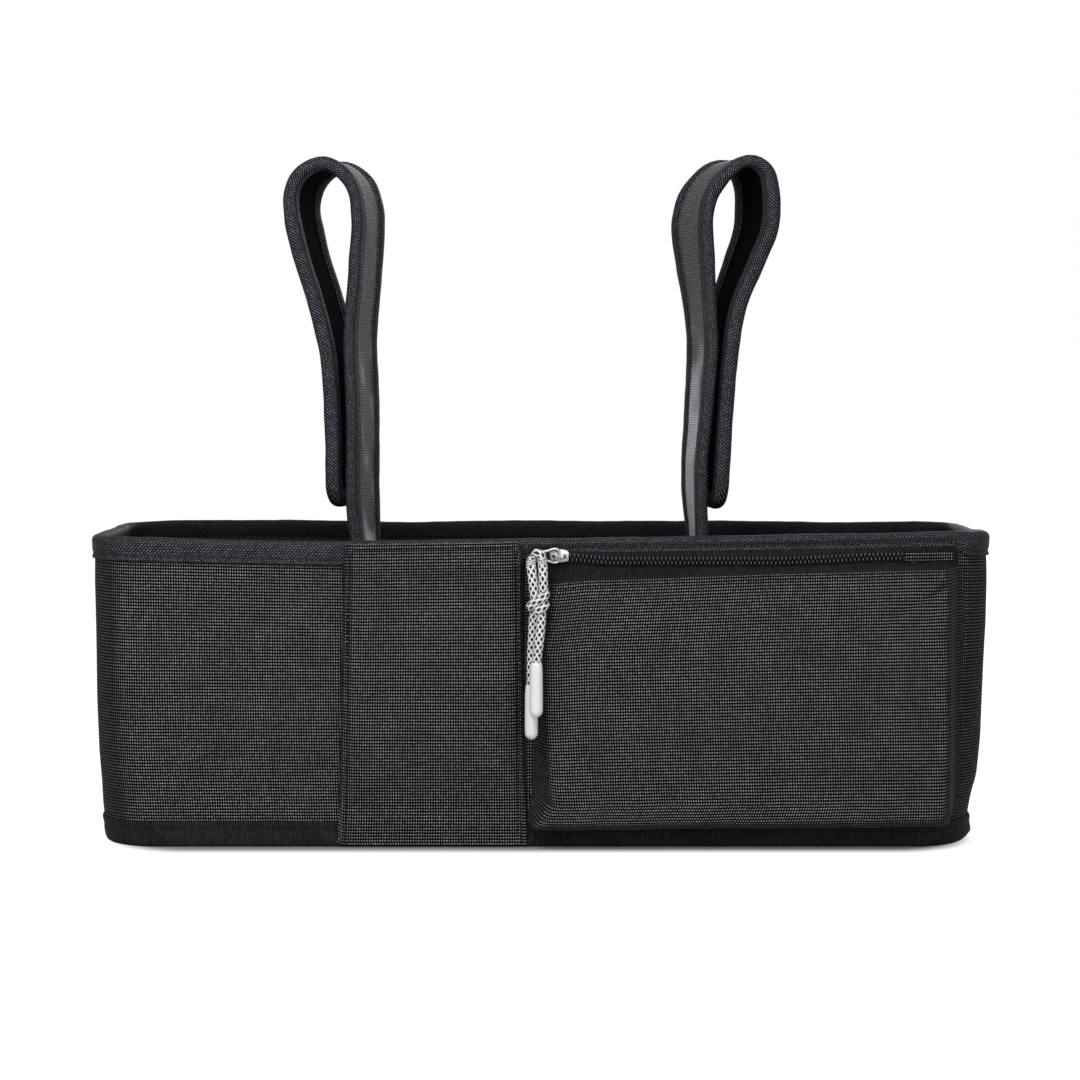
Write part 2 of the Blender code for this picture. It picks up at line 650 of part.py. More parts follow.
def cord_tip(name, end):
    """A moulded end sleeve: a turned profile with a rounded foot."""
    radius, length = CORD_TIP_DIAMETER / 2, CORD_TIP_LENGTH
    profile = [(0.0, 0.0), (CORD_TIP_MOUTH / 2, 0.0), (radius, -CORD_TIP_SHOULDER), (radius, -length + radius)]
    for step in range(1, 5):
        angle = math.pi / 2 * step / 4
        profile.append((radius * math.cos(angle), -length + radius - radius * math.sin(angle)))
    profile[-1] = (0.0, -length)
    data = bpy.data.meshes.new(name)
    data.from_pydata([(x, 0, z) for x, z in profile], [(i, i + 1) for i in range(len(profile) - 1)], [])
    data.materials.append(finish("cord_tip"))
    obj = bpy.data.objects.new(name, data)
    PARTS.objects.link(obj)
    obj.location = (end[0] * MM, end[1] * MM, end[2] * MM - CLEARANCE)
    screw = obj.modifiers.new("Turned", "SCREW")
    screw.steps = screw.render_steps = 14
    screw.use_merge_vertices = True
    screw.merge_threshold = 1e-5
    return obj


# Straps

def turn_at(stations, z):
    """The strap's turn about the vertical at a height, eased between its stations."""
    height, turn = stations[0]
    for next_height, next_turn in stations[1:]:
        turn += (next_turn - turn) * ease(z - height * MM, (next_height - height) * MM)
        height = next_height
    return math.radians(turn)


class Band:
    """A strap's middle surface: along counts from the foot, across from the centre line."""

    def __init__(self, side, line, turn):
        seat = side * STRAP_SEAT
        route = [Vector((seat, STRAP_FOOT)), Vector((seat, mix(STRAP_FOOT, DIVIDER_HEIGHT, 0.5))),
                 Vector((seat, DIVIDER_HEIGHT))]
        route += [Vector(point) * MM for point in line]
        self.fine = smooth_line(route, 400)
        self.length = sum((b - a).length for a, b in zip(self.fine, self.fine[1:]))
        self.turn = turn
        marks = [0.0, self.along_at(STRAP_LOOP_FROM), self.along_at(STRAP_LOOP_FROM, last=True),
                 self.length - STRAP_CORNER]
        self.stations = [0.0]
        for start, end, steps in zip(marks, marks[1:], STRAP_STEPS):
            self.stations += [mix(start, end, step / steps) for step in range(1, steps + 1)]

    def centre(self, along):
        place = along / self.length * (len(self.fine) - 1)
        index = min(max(int(place), 0), len(self.fine) - 2)
        start, end = self.fine[index], self.fine[index + 1]
        return start + (end - start) * (place - index)

    def point(self, along, across, lift=0.0):
        flat = self.centre(along)
        turn = turn_at(self.turn, flat.y)
        place = Vector((flat.x + across * math.sin(turn), across * math.cos(turn), flat.y))
        if lift:
            step = 2.0 * MM
            ahead, behind = self.point(along + step, across), self.point(along - step, across)
            wider, narrower = self.point(along, across + step), self.point(along, across - step)
            place += (wider - narrower).cross(ahead - behind).normalized() * lift
        return place

    def along_at(self, z, last=False):
        """Where the centre line passes a height, the first or the last time."""
        count = len(self.fine) - 1
        order = range(count, 0, -1) if last else range(count)
        for index in order:
            ahead = self.fine[index - 1 if last else index + 1]
            if (self.fine[index].y - z) * (ahead.y - z) <= 0:
                return self.length * index / count
        return 0.0


BINDING_REACH = STRAP_THICKNESS / 2 + STRAP_BINDING_EASE + STRAP_BINDING_THICKNESS / 2
CORE_HALF_WIDTH = STRAP_WIDTH / 2 - BINDING_REACH - STRAP_BINDING_THICKNESS / 2 + CLEARANCE
CORNER_CENTRE = CORE_HALF_WIDTH - STRAP_CORNER


def edge_path(band):
    """(along, heading in degrees) from the foot up one long edge and a quarter turn round the free end."""
    steps = range(1, STRAP_CORNER_STEPS + 1)
    return [(along, 0.0) for along in band.stations] + [
        (band.stations[-1], 90.0 * step / STRAP_CORNER_STEPS) for step in steps]


def strap_body(name, band):
    path = edge_path(band)

    def place(column, row):
        along, heading = path[column]
        along += STRAP_CORNER * math.sin(math.radians(heading))
        half = CORNER_CENTRE + STRAP_CORNER * math.cos(math.radians(heading))
        return band.point(along, half * (row - 1))

    return sheet(name, "strap_face", place, len(path) - 1, 2, STRAP_THICKNESS)


def strap_binding(name, band):
    """The twill strip folded over both long edges and round the free end."""
    half_path = edge_path(band)
    path = [(along, -1, heading) for along, heading in half_path]
    path += [(along, 1, heading) for along, heading in reversed(half_path)]
    section = [(STRAP_BINDING_LEG, -90.0)]
    section += [(0.0, -90 + 180 * step / STRAP_BINDING_ARC_STEPS) for step in range(STRAP_BINDING_ARC_STEPS + 1)]
    section.append((STRAP_BINDING_LEG, 90.0))

    def place(column, row):
        along, side, heading = path[column]
        leg, angle = section[row]
        out = BINDING_REACH * math.cos(math.radians(angle)) - CLEARANCE - leg
        lift = BINDING_REACH * math.sin(math.radians(angle))
        reach = STRAP_CORNER + out
        turn = math.radians(heading)
        return band.point(along + reach * math.sin(turn), side * (CORNER_CENTRE + reach * math.cos(turn)), lift)

    return sheet(name, "twill_binding", place, len(path) - 1, len(section) - 1, STRAP_BINDING_THICKNESS)


def patch(name, band, start, end, face):
    """A hook or loop tape sewn on one face of the strap."""
    columns = 8
    lift = face * (STRAP_THICKNESS / 2 + CLEARANCE + PATCH_THICKNESS / 2)

    def place(column, row):
        return band.point(mix(start, end, column / columns), PATCH_WIDTH * (row / 2 - 0.5), lift)

    return sheet(name, "hook_and_loop", place, columns, 2, PATCH_THICKNESS)


def strap(label, side, line, turn):
    band = Band(side, line, turn)
    strap_body(f"strap_{label}", band)
    strap_binding(f"strap_binding_{label}", band)
    inner_face = -1 if side < 0 else 1
    patch(f"loop_tape_{label}", band, band.along_at(PATCH_LOW), band.along_at(PATCH_HIGH), inner_face)
    patch(f"hook_tape_{label}", band, band.along_at(PATCH_HIGH, last=True),
          band.along_at(PATCH_LOW, last=True), inner_face)


side_wall()
base_panel()
rim_binding()
base_binding()
DIVIDER_AT = STRAP_SEAT + BINDING_REACH + STRAP_BINDING_THICKNESS / 2 + CLEARANCE + DIVIDER_THICKNESS / 2
divider("divider_left", -DIVIDER_AT)
divider("divider_right", DIVIDER_AT)
slip_pocket()
pouch_front()
upper_tape()
lower_tape()
teeth_row("zip_teeth_upper", 1)
teeth_row("zip_teeth_lower", -1)
zip_stop("zip_stop_left", ZIP_START - STOP_LENGTH - CLEARANCE)
zip_stop("zip_stop_right", ZIP_END + CLEARANCE)
end_patch()
slider()
pull_ring()
cord_tube("cord_left", CORD_LEFT_ROUTE)
cord_tube("cord_right", CORD_RIGHT_ROUTE)
cord_knot()
cord_tube("cord_tail_front", TAIL_FRONT_ROUTE)
cord_tube("cord_tail_back", TAIL_BACK_ROUTE)
cord_tip("cord_tip_front", TAIL_FRONT_ROUTE[-1])
cord_tip("cord_tip_back", TAIL_BACK_ROUTE[-1])
strap("left", -1, LEFT_LINE, LEFT_TURN)
strap("right", 1, RIGHT_LINE, RIGHT_TURN)
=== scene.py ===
# %% [markdown]
# # A stroller organizer, dressed for a picture
# The organizer is a soft oblong basket of dotted polyester. Twill tape binds its rim, a slip pocket and a
# zipped pouch sit on its front, and two padded straps loop over a stroller's handlebar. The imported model
# gives the frame: every piece below is made in metres in that frame and rides on one of its bodies.

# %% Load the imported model
import math

import bpy
import numpy as np
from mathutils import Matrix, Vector


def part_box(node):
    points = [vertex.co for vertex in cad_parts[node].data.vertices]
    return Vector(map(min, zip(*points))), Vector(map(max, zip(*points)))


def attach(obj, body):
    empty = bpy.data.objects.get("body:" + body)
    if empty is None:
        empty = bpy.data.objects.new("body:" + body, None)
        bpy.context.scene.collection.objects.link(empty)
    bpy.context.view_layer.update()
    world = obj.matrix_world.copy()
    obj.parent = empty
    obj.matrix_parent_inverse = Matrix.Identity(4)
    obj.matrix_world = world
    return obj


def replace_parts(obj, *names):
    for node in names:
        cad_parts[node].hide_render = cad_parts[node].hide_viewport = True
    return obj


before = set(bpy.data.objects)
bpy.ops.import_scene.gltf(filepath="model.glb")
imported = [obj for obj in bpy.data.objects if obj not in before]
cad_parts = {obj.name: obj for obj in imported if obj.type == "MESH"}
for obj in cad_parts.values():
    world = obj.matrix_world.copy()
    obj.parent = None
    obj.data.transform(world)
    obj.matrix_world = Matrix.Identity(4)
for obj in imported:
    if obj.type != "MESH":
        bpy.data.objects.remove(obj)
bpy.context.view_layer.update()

MM = 0.001

# %% [markdown]
# ## Camera
# A small product is usually shot from a metre or so away, a little above its rim, with a long lens. The
# distance and the tilt were fitted so that the basket's front rim, back rim and foot fall where they do
# in the photograph.

# %% Set the camera
def link(name, data):
    """An object that holds the data, in the scene."""
    thing = bpy.data.objects.new(name, data)
    bpy.context.scene.collection.objects.link(thing)
    return thing


camera = link("camera", bpy.data.cameras.new("camera"))
bpy.context.scene.camera = camera
camera.data.lens = 82.6
camera.data.sensor_width = 36.0
camera.data.clip_start = 0.05
camera.location = (0.0, -1.156, 0.2171)
camera.rotation_euler = (math.radians(90 - 4.09), 0.0, 0.0)
bpy.context.scene.view_settings.view_transform = "Standard"

# %% [markdown]
# ## Small tools for cloth
# Sewn cloth is a thin sheet with two faces. Each piece here starts as a grid of points for its front, and
# the back is the same grid set in along the normals. The grid also carries a UV map named weave, in
# metres, so that every fabric pattern has its true size. Numpy keeps the grids short to write and quick
# to build.

# %% Helpers that shape lines and grids
def mix(a, b, share):
    return a + (b - a) * share


def ease(value, low, high):
    """0 below low, 1 above high, with a smooth slope between."""
    share = np.clip((value - low) / (high - low), 0.0, 1.0)
    return share * share * (3 - 2 * share)


def rise(distance, reach):
    """A quarter circle from 0 to 1, as a sewn edge curves up to its face."""
    share = np.clip(distance / reach, 0.0, 1.0)
    return np.sqrt(1 - (1 - share) ** 2)


def table(value, pairs):
    """Reads a value off a short table of (place, value) pairs."""
    places, values = zip(*pairs)
    return np.interp(value, places, values)


def xyz(x, y, z):
    """Points from their coordinates, which may differ in shape."""
    return np.stack(np.broadcast_arrays(x, y, z), axis=-1)


def both_ends(count):
    """0 to 1 in steps that are finer near both ends."""
    return (1 - np.cos(np.linspace(0, math.pi, count))) / 2


def near(value, centre, width):
    """A soft bump of height 1 round a centre."""
    return np.exp(-(((value - centre) / width) ** 2))


def ripples(points, size, seed, waves=7):
    """The unevenness of soft cloth: a sum of plane waves about `size` long, near -1 to 1."""
    dice = np.random.default_rng(seed)
    total = np.zeros(points.shape[:-1])
    for _ in range(waves):
        heading = dice.normal(size=3)
        heading /= np.linalg.norm(heading)
        length = size * dice.uniform(0.7, 1.5)
        total += np.sin(points @ heading * 2 * math.pi / length + dice.uniform(0, 2 * math.pi))
    return total / math.sqrt(waves) / 1.3


def normals_of(grid, closed=False):
    along = np.roll(grid, -1, 0) - np.roll(grid, 1, 0) if closed else np.gradient(grid, axis=0)
    normal = np.cross(along, np.gradient(grid, axis=1))
    return normal / np.maximum(np.linalg.norm(normal, axis=-1, keepdims=True), 1e-12)


def weave_of(grid, closed=False):
    """Cloth distances over a grid, in metres: right along the columns and up the rows."""
    loop = np.concatenate([grid, grid[:1]]) if closed else grid
    right = np.linalg.norm(np.diff(loop, axis=0), axis=-1).mean(1)
    up = np.linalg.norm(np.diff(grid, axis=1), axis=-1).mean(0)
    right, up = np.concatenate([[0.0], np.cumsum(right)]), np.concatenate([[0.0], np.cumsum(up)])
    return np.stack(np.meshgrid(right, up, indexing="ij"), axis=-1)


# %% A closed cloth mesh from two grids
def new_mesh(name, points, faces, weave=None):
    """A mesh with the UV map weave, given corner by corner."""
    mesh = bpy.data.meshes.new(name)
    mesh.from_pydata(points, [], faces)
    if weave is not None:
        mesh.uv_layers.new(name="weave").data.foreach_set("uv", np.ravel(weave))
    return mesh


def cloth(name, front, back, finishes, closed=False, turn_row=None):
    """One sewn piece: both grids and the strips that join their edges. The back has the second finish, and
    so does the front from turn_row on."""
    columns, rows = front.shape[:2]
    weave = weave_of(front, closed)
    c, r = np.meshgrid(np.arange(columns if closed else columns - 1), np.arange(rows - 1), indexing="ij")
    c, r = c.ravel(), r.ravel()
    ends = np.arange(columns if closed else columns - 1)
    sides = np.arange(rows - 1)
    low, high = np.zeros_like(ends), np.full_like(ends, rows - 1)
    first, last = sides * 0, sides * 0 + columns - 1
    strips = [(0, c, r, 0, c + 1, r, 0, c + 1, r + 1, 0, c, r + 1),
              (1, c, r, 1, c, r + 1, 1, c + 1, r + 1, 1, c + 1, r),
              (0, ends + 1, low, 0, ends, low, 1, ends, low, 1, ends + 1, low),
              (0, ends, high, 0, ends + 1, high, 1, ends + 1, high, 1, ends, high)]
    if not closed:
        strips += [(0, first, sides, 0, first, sides + 1, 1, first, sides + 1, 1, first, sides),
                   (0, last, sides + 1, 0, last, sides, 1, last, sides, 1, last, sides + 1)]
    faces, places, marks = [], [], []
    for mark, strip in enumerate(strips):
        corners = [strip[k:k + 3] for k in (0, 3, 6, 9)]
        faces.append(np.stack([(face * columns + c % columns) * rows + r for face, c, r in corners], axis=1))
        places.append(np.stack([weave[c, r] for _, c, r in corners], axis=1))
        second = np.full(len(faces[-1]), mark == 1) | ((mark == 0) & (strip[2] >= (turn_row or rows)))
        marks.append(np.where(second & (len(finishes) > 1), 1, 0))
    points = np.concatenate([front.reshape(-1, 3), back.reshape(-1, 3)])
    mesh = new_mesh(name, points.tolist(), np.concatenate(faces).tolist(), np.concatenate(places))
    return add_piece(name, mesh, finishes, "organizer", np.concatenate(marks))


def sewn(name, front, thickness, finishes, normal=None, **how):
    """Cloth of one thickness: its back is its front, set in along the normals."""
    normal = normals_of(front) if normal is None else normal
    return cloth(name, front, front - normal * thickness, finishes, **how)


def add_piece(name, mesh, finishes, body, marks=None):
    """An object with its finishes, shaded smooth, that rides on its body."""
    for finish_name in finishes:
        mesh.materials.append(FINISH[finish_name])
    if marks is not None:
        mesh.polygons.foreach_set("material_index", marks)
    mesh.shade_smooth()
    piece = link(name, mesh)
    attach(piece, body)
    return piece


# %% [markdown]
# ## Shader effects
# Dots, twill, ribs, ageing, pile and braid are effects that several finishes share, so each is a node
# group with named inputs and outputs. A group gives masks and heights only. The Principled shader stays
# in each material, where its plain numbers can be read.

# %% Short calls for laying nodes
class Nodes:
    def __init__(self, tree):
        self.tree = tree

    def new(self, kind, **settings):
        node = self.tree.nodes.new("ShaderNode" + kind)
        for key, value in settings.items():
            setattr(node, key, value)
        return node

    def put(self, socket, value):
        if isinstance(value, bpy.types.NodeSocket):
            self.tree.links.new(value, socket)
        else:
            socket.default_value = value

    def math(self, operation, *values):
        node = self.new("Math", operation=operation)
        for socket, value in zip(node.inputs, values):
            self.put(socket, value)
        return node.outputs[0]

    def times(self, first, second):
        return self.math("MULTIPLY", first, second)

    def fit(self, value, gain, base):
        """value * gain + base."""
        return self.math("MULTIPLY_ADD", value, gain, base)

    def slope(self, value, start, end, low=0.0, high=1.0):
        """low before start, high after end, smooth between."""
        node = self.new("MapRange", interpolation_type="SMOOTHSTEP")
        keys = ("Value", "From Min", "From Max", "To Min", "To Max")
        for key, item in zip(keys, (value, start, end, low, high)):
            self.put(node.inputs[key], item)
        return node.outputs[0]

    def centred(self, value):
        """How far a repeating value lies from the middle of its step, 0 to 0.5."""
        return self.math("ABSOLUTE", self.math("SUBTRACT", self.math("FRACT", value), 0.5))

    def chance(self, *values):
        """An even random number for each whole-number cell."""
        pair = self.new("CombineXYZ")
        for socket, value in zip(pair.inputs, values):
            self.put(socket, self.math("FLOOR", value))
        dice = self.new("TexWhiteNoise", noise_dimensions="3D")
        self.put(dice.inputs["Vector"], pair.outputs[0])
        return dice.outputs["Value"]

    def cloud(self, vector, scale, detail=2.0):
        texture = self.new("TexNoise")
        self.put(texture.inputs["Vector"], vector)
        self.put(texture.inputs["Scale"], scale)
        texture.inputs["Detail"].default_value = detail
        return texture.outputs[0]

    def split(self, vector):
        node = self.new("SeparateXYZ")
        self.put(node.inputs[0], vector)
        return tuple(node.outputs)


def effect(name, inputs, outputs, lay):
    """A node group. Inputs are (name, kind, value); lay(nodes, sockets) returns the output sockets."""
    tree = bpy.data.node_groups.new(name, "ShaderNodeTree")
    for socket_name, kind, value in inputs:
        socket = tree.interface.new_socket(name=socket_name, in_out="INPUT", socket_type="NodeSocket" + kind)
        if value is not None:
            socket.default_value = value
    for socket_name in outputs:
        tree.interface.new_socket(name=socket_name, in_out="OUTPUT", socket_type="NodeSocketFloat")
    nodes = Nodes(tree)
    source, target = tree.nodes.new("NodeGroupInput"), tree.nodes.new("NodeGroupOutput")
    results = lay(nodes, {socket.name: socket for socket in source.outputs if socket.name})
    for socket, result in zip(target.inputs, results):
        tree.links.new(result, socket)
    return tree


# %% [markdown]
# The basket's cloth is woven dark, with a light dot at every crossing and a shadow line between the rows.
# The group measures how far a point lies from the middle of its cell, makes the dot and the line from
# that, and varies the dots' brightness cell by cell and patch by patch, as real yarn does.

# %% Effect: woven dots
DOT_WIDE, DOT_TALL, ROW_LINE = (0.22, 0.12), (0.26, 0.13), (0.34, 0.46)   # shares of a cell


def lay_dots(n, given):
    x, y, _ = n.split(given["Weave"])
    u, v = n.math("DIVIDE", x, given["Column pitch"]), n.math("DIVIDE", y, given["Row pitch"])
    off_u, off_v = n.centred(u), n.centred(v)
    dot = n.times(n.slope(off_u, *DOT_WIDE), n.slope(off_v, *DOT_TALL))
    patch = n.slope(n.cloud(given["Weave"], 70.0), 0.3, 0.7, 0.8, 1.0)
    vary = n.times(n.fit(n.chance(u, v, 0.0), 0.45, 0.55), patch)
    row = n.slope(off_v, *ROW_LINE)
    height = n.math("SUBTRACT", n.times(dot, 0.6), n.times(row, 0.5))
    return n.times(dot, vary), row, height


DOTS = effect("woven_dots", [("Weave", "Vector", None), ("Column pitch", "Float", 1.12 * MM),
                             ("Row pitch", "Float", 1.4 * MM)], ("Dots", "Rows", "Height"), lay_dots)


# %% [markdown]
# Binding tape is a twill: short bright floats step up to the right, row above row. Here the slanted
# coordinate picks the line, and a row coordinate cuts each line into floats.

# %% Effect: twill
def lay_twill(n, given):
    x, y, _ = n.split(given["Weave"])
    wander = n.times(n.cloud(given["Weave"], 60.0), n.times(given["Pitch"], 0.5))
    slant = n.math("DIVIDE", n.math("ADD", n.math("SUBTRACT", x, y), wander), given["Pitch"])
    row = n.math("DIVIDE", y, given["Row"])
    line = n.slope(n.centred(slant), 0.31, 0.14)
    float_ = n.slope(n.centred(row), 0.44, 0.28)
    vary = n.fit(n.chance(slant, row, 0.0), 0.6, 0.4)
    height = n.times(line, n.fit(float_, 0.5, 0.5))
    return n.times(n.times(line, float_), vary), height


TWILL = effect("twill", [("Weave", "Vector", None), ("Pitch", "Float", 1.5 * MM),
                         ("Row", "Float", 1.05 * MM)], ("Floats", "Height"), lay_twill)


# %% [markdown]
# Ribbed tape and the satin face of the straps both have fine ridges across their length. On the satin the
# ridges waver and break up, which the group's Waver input sets.

# %% Effect: ribs
def lay_ribs(n, given):
    x, y, _ = n.split(given["Weave"])
    drift = n.times(n.math("SUBTRACT", n.cloud(given["Weave"], 260.0), 0.5), given["Waver"])
    at = n.math("ADD", n.math("DIVIDE", x, given["Pitch"]), drift)
    rib = n.slope(n.centred(at), 0.5, 0.12)
    breaks = n.chance(at, n.math("DIVIDE", y, given["Break length"]), 0.0)
    return rib, breaks, rib


RIBS = effect("ribs", [("Weave", "Vector", None), ("Pitch", "Float", 0.9 * MM), ("Waver", "Float", 0.6),
                       ("Break length", "Float", 3.0 * MM)], ("Ribs", "Breaks", "Height"), lay_ribs)


# %% [markdown]
# No cloth is one even tone. Ageing gives slow, cloudy tone and a little pale lint, and it reads the place
# on the object itself, so it runs on across seams.

# %% Effects: ageing, pile, scuffs
def lay_ageing(n, given):
    tone = n.slope(n.cloud(given["Place"], given["Cloud scale"], 4.0), 0.3, 0.7)
    stretched = n.new("Mapping")
    n.put(stretched.inputs["Vector"], given["Place"])
    stretched.inputs["Scale"].default_value = (1.0, 1.0, 0.25)
    stretched.inputs["Rotation"].default_value = (0.4, 0.9, 0.2)
    lint = n.slope(n.cloud(stretched.outputs[0], 900.0, 3.0), 0.72, 0.80)
    return tone, lint


AGEING = effect("cloth_ageing", [("Place", "Vector", None), ("Cloud scale", "Float", 18.0)],
                ("Tone", "Lint"), lay_ageing)


def lay_pile(n, given):
    loops = n.new("TexVoronoi", feature="F1")
    n.put(loops.inputs["Vector"], given["Place"])
    n.put(loops.inputs["Scale"], given["Loop density"])
    tips = n.slope(loops.outputs["Distance"], 0.45, 0.05)
    return tips, n.times(tips, n.cloud(given["Place"], 1500.0))


PILE = effect("pile", [("Place", "Vector", None), ("Loop density", "Float", 1100.0)],
              ("Tips", "Height"), lay_pile)


def lay_scuffs(n, given):
    stretched = n.new("Mapping")
    n.put(stretched.inputs["Vector"], given["Place"])
    stretched.inputs["Scale"].default_value = (0.15, 1.0, 1.0)
    fine = n.cloud(stretched.outputs[0], 2600.0, 5.0)
    return n.slope(fine, 0.45, 0.7), fine


SCUFFS = effect("scuffs", [("Place", "Vector", None)], ("Marks", "Height"), lay_scuffs)


# %% [markdown]
# The pull cord is a round braid: pale yarns run both ways round a black core. Two families of slanted
# lines, one for each way, make the lattice, and where neither runs the core shows as a black diamond.

# %% Effect: braid
BRAID_ROUND, BRAID_STEP, BRAID_SHARE = 5, 3.5 * MM, 0.36


def lay_braid(n, given):
    x, y, _ = n.split(given["Weave"])
    turn = n.times(x, float(BRAID_ROUND))
    run = n.math("DIVIDE", y, BRAID_STEP)
    right, left = n.math("ADD", turn, run), n.math("SUBTRACT", turn, run)
    edge = 0.5 - BRAID_SHARE / 2
    bands = [n.slope(n.centred(way), edge - 0.05, edge + 0.05) for way in (right, left)]
    yarns = n.math("MAXIMUM", *bands)
    twist = n.slope(n.centred(n.times(right, 7.0)), 0.1, 0.4)
    return yarns, n.times(yarns, n.fit(twist, 0.4, 0.6))


BRAID = effect("braid", [("Weave", "Vector", None)], ("Yarns", "Height"), lay_braid)
print("effects:", ", ".join(group.name for group in bpy.data.node_groups))


# %% [markdown]
# ## Finishes
# A colour is written as it looks on a screen, 0 to 255, and turned into the linear values that Blender
# uses.

# %% Helpers for materials
def shade(red, green, blue):
    levels = np.array((red, green, blue)) / 255
    linear = np.where(levels < 0.04045, levels / 12.92, ((levels + 0.055) / 1.055) ** 2.4)
    return (*linear.tolist(), 1.0)


class Finish(Nodes):
    """A material under construction: its nodes, its shader, and the two kinds of place that effects read."""

    def __init__(self, name, roughness, **numbers):
        self.name, self.material = name, bpy.data.materials.new(f"{name}_look")
        self.material.use_nodes = True
        super().__init__(self.material.node_tree)
        self.shader = self.tree.nodes["Principled BSDF"]
        self.shader.inputs["Roughness"].default_value = roughness
        for key, value in numbers.items():
            self.shader.inputs[key.replace("_", " ")].default_value = value
        self.weave = self.new("UVMap", uv_map="weave").outputs[0]
        self.place = self.new("TexCoord").outputs["Object"]

    def use(self, group, **inputs):
        node = self.new("Group", node_tree=group)
        for key, value in inputs.items():
            self.put(node.inputs[key.replace("_", " ")], value)
        return node.outputs

    def frontal(self, full, gone):
        """1 where the surface faces the viewer to within `full` degrees, 0 from `gone` degrees on."""
        facing = self.new("LayerWeight").outputs["Facing"]
        return self.slope(facing, *(1 - math.cos(math.radians(angle)) for angle in (gone, full)))

    def blend(self, share, first, second):
        node = self.new("Mix", data_type="RGBA")
        for slot, value in ((0, share), (6, first), (7, second)):   # the colour kind's sockets
            self.put(node.inputs[slot], value)
        return node.outputs[2]

    def finish(self, colour=None, height=None, depth=0.2 * MM, strength=0.6, roughness=None):
        if colour is not None:
            self.put(self.shader.inputs["Base Color"], colour)
        if roughness is not None:
            self.put(self.shader.inputs["Roughness"], roughness)
        if height is not None:
            bump = self.new("Bump")
            bump.inputs["Strength"].default_value = strength
            bump.inputs["Distance"].default_value = depth
            self.put(bump.inputs["Height"], height)
            self.put(self.shader.inputs["Normal"], bump.outputs[0])
        FINISH[self.name] = self.material


FINISH = {}


# %% [markdown]
# The outer cloth: near-black ground, pale dots, darker lines between the rows, and slow clouds of tone.
# The dark lines are painted shade in the grooves between the rows. The dots are glossy filaments whose glint
# is painted into their colour: full where the cloth faces the viewer, fading where it turns away.

# %% Finish: dotted fabric
def dotted_fabric():
    f = Finish("dotted_fabric", 0.78, Specular_IOR_Level=0.05)
    dots = f.use(DOTS, Weave=f.weave)
    age = f.use(AGEING, Place=f.place)
    ground = f.blend(age["Tone"], shade(12, 12, 14), shade(18, 18, 20))
    # The dark lines between the rows are painted shade in the weave's grooves, faded where the cloth turns
    # away.
    ground = f.blend(f.times(dots["Rows"], f.frontal(24, 38)), ground, shade(4, 4, 6))
    # The dots' pale colour carries a painted glint: full where the cloth faces the viewer, weaker where it
    # turns away.
    pattern_with_painted_glint = f.times(dots["Dots"], f.fit(f.frontal(24, 48), 0.6, 0.4))
    colour = f.blend(pattern_with_painted_glint, ground, shade(212, 215, 221))
    colour = f.blend(age["Lint"], colour, shade(60, 60, 62))
    f.finish(colour, dots["Height"], depth=0.25 * MM)


# %% Finish: plain linings and tapes
def lining():
    f = Finish("lining", 0.7, Specular_IOR_Level=0.04)
    ribs = f.use(RIBS, Weave=f.weave, Pitch=0.5 * MM, Waver=0.2)
    age = f.use(AGEING, Place=f.place)
    colour = f.blend(age["Tone"], shade(11, 11, 13), shade(17, 17, 19))
    colour = f.blend(f.times(ribs["Ribs"], 0.4), colour, shade(26, 26, 29))
    f.finish(colour, ribs["Height"], depth=0.12 * MM)


def ribbed(name, dark, light):
    f = Finish(name, 0.75, Specular_IOR_Level=0.05)
    ribs = f.use(RIBS, Weave=f.weave, Pitch=0.95 * MM, Waver=0.25)
    age = f.use(AGEING, Place=f.place)
    share = f.times(ribs["Ribs"], f.fit(ribs["Breaks"], 0.5, 0.5))
    colour = f.blend(share, dark, light)
    colour = f.blend(f.times(age["Tone"], 0.3), colour, dark)
    f.finish(colour, ribs["Height"], depth=0.15 * MM)


# %% [markdown]
# The binding is a black twill with a blue cast and bright floats, whose painted glint fades where the tape
# turns away. On the rim's inner side the tape gets a darker copy of the same twill, as painted shade.

# %% Finish: twill binding
def twill(name, ground, floats):
    f = Finish(name, 0.62, Specular_IOR_Level=0.08)
    weave = f.use(TWILL, Weave=f.weave)
    age = f.use(AGEING, Place=f.place)
    # Painted glint: the floats are fully bright where the tape faces the viewer, weaker where it turns away.
    pattern_with_painted_glint = f.times(weave["Floats"], f.fit(f.frontal(25, 65), 0.6, 0.4))
    colour = f.blend(pattern_with_painted_glint, f.blend(age["Tone"], *ground), floats)
    f.finish(colour, weave["Height"], depth=0.3 * MM, strength=0.7)


# %% [markdown]
# The strap's face is a grey satin with wavering ridges. Its pale shine at a grazing angle is a painted sheen,
# kept below a set height, as on the lower part of the right strap.

# %% Finishes: strap face, pile, thread
def strap_face():
    f = Finish("strap_face", 0.55, Specular_IOR_Level=0.1)
    ribs = f.use(RIBS, Weave=f.weave, Pitch=1.1 * MM, Waver=1.0, Break_length=2.2 * MM)
    age = f.use(AGEING, Place=f.place)
    share = f.times(ribs["Ribs"], f.fit(ribs["Breaks"], 0.4, 0.6))
    colour = f.blend(share, shade(5, 5, 6), shade(112, 112, 119))
    colour = f.blend(f.times(age["Tone"], 0.25), colour, shade(40, 40, 43))
    # Painted sheen: pale colour where the face is seen at a grazing angle, only below a set height.
    low = f.slope(f.split(f.place)[2], 0.25, 0.19)
    painted_sheen = f.times(f.fit(f.frontal(71.8, 76.5), -0.9, 0.9), low)
    painted_sheen = f.times(painted_sheen, f.fit(share, 0.6, 0.4))
    colour = f.blend(painted_sheen, colour, shade(232, 233, 240))
    f.finish(colour, ribs["Height"], depth=0.22 * MM, strength=0.6)


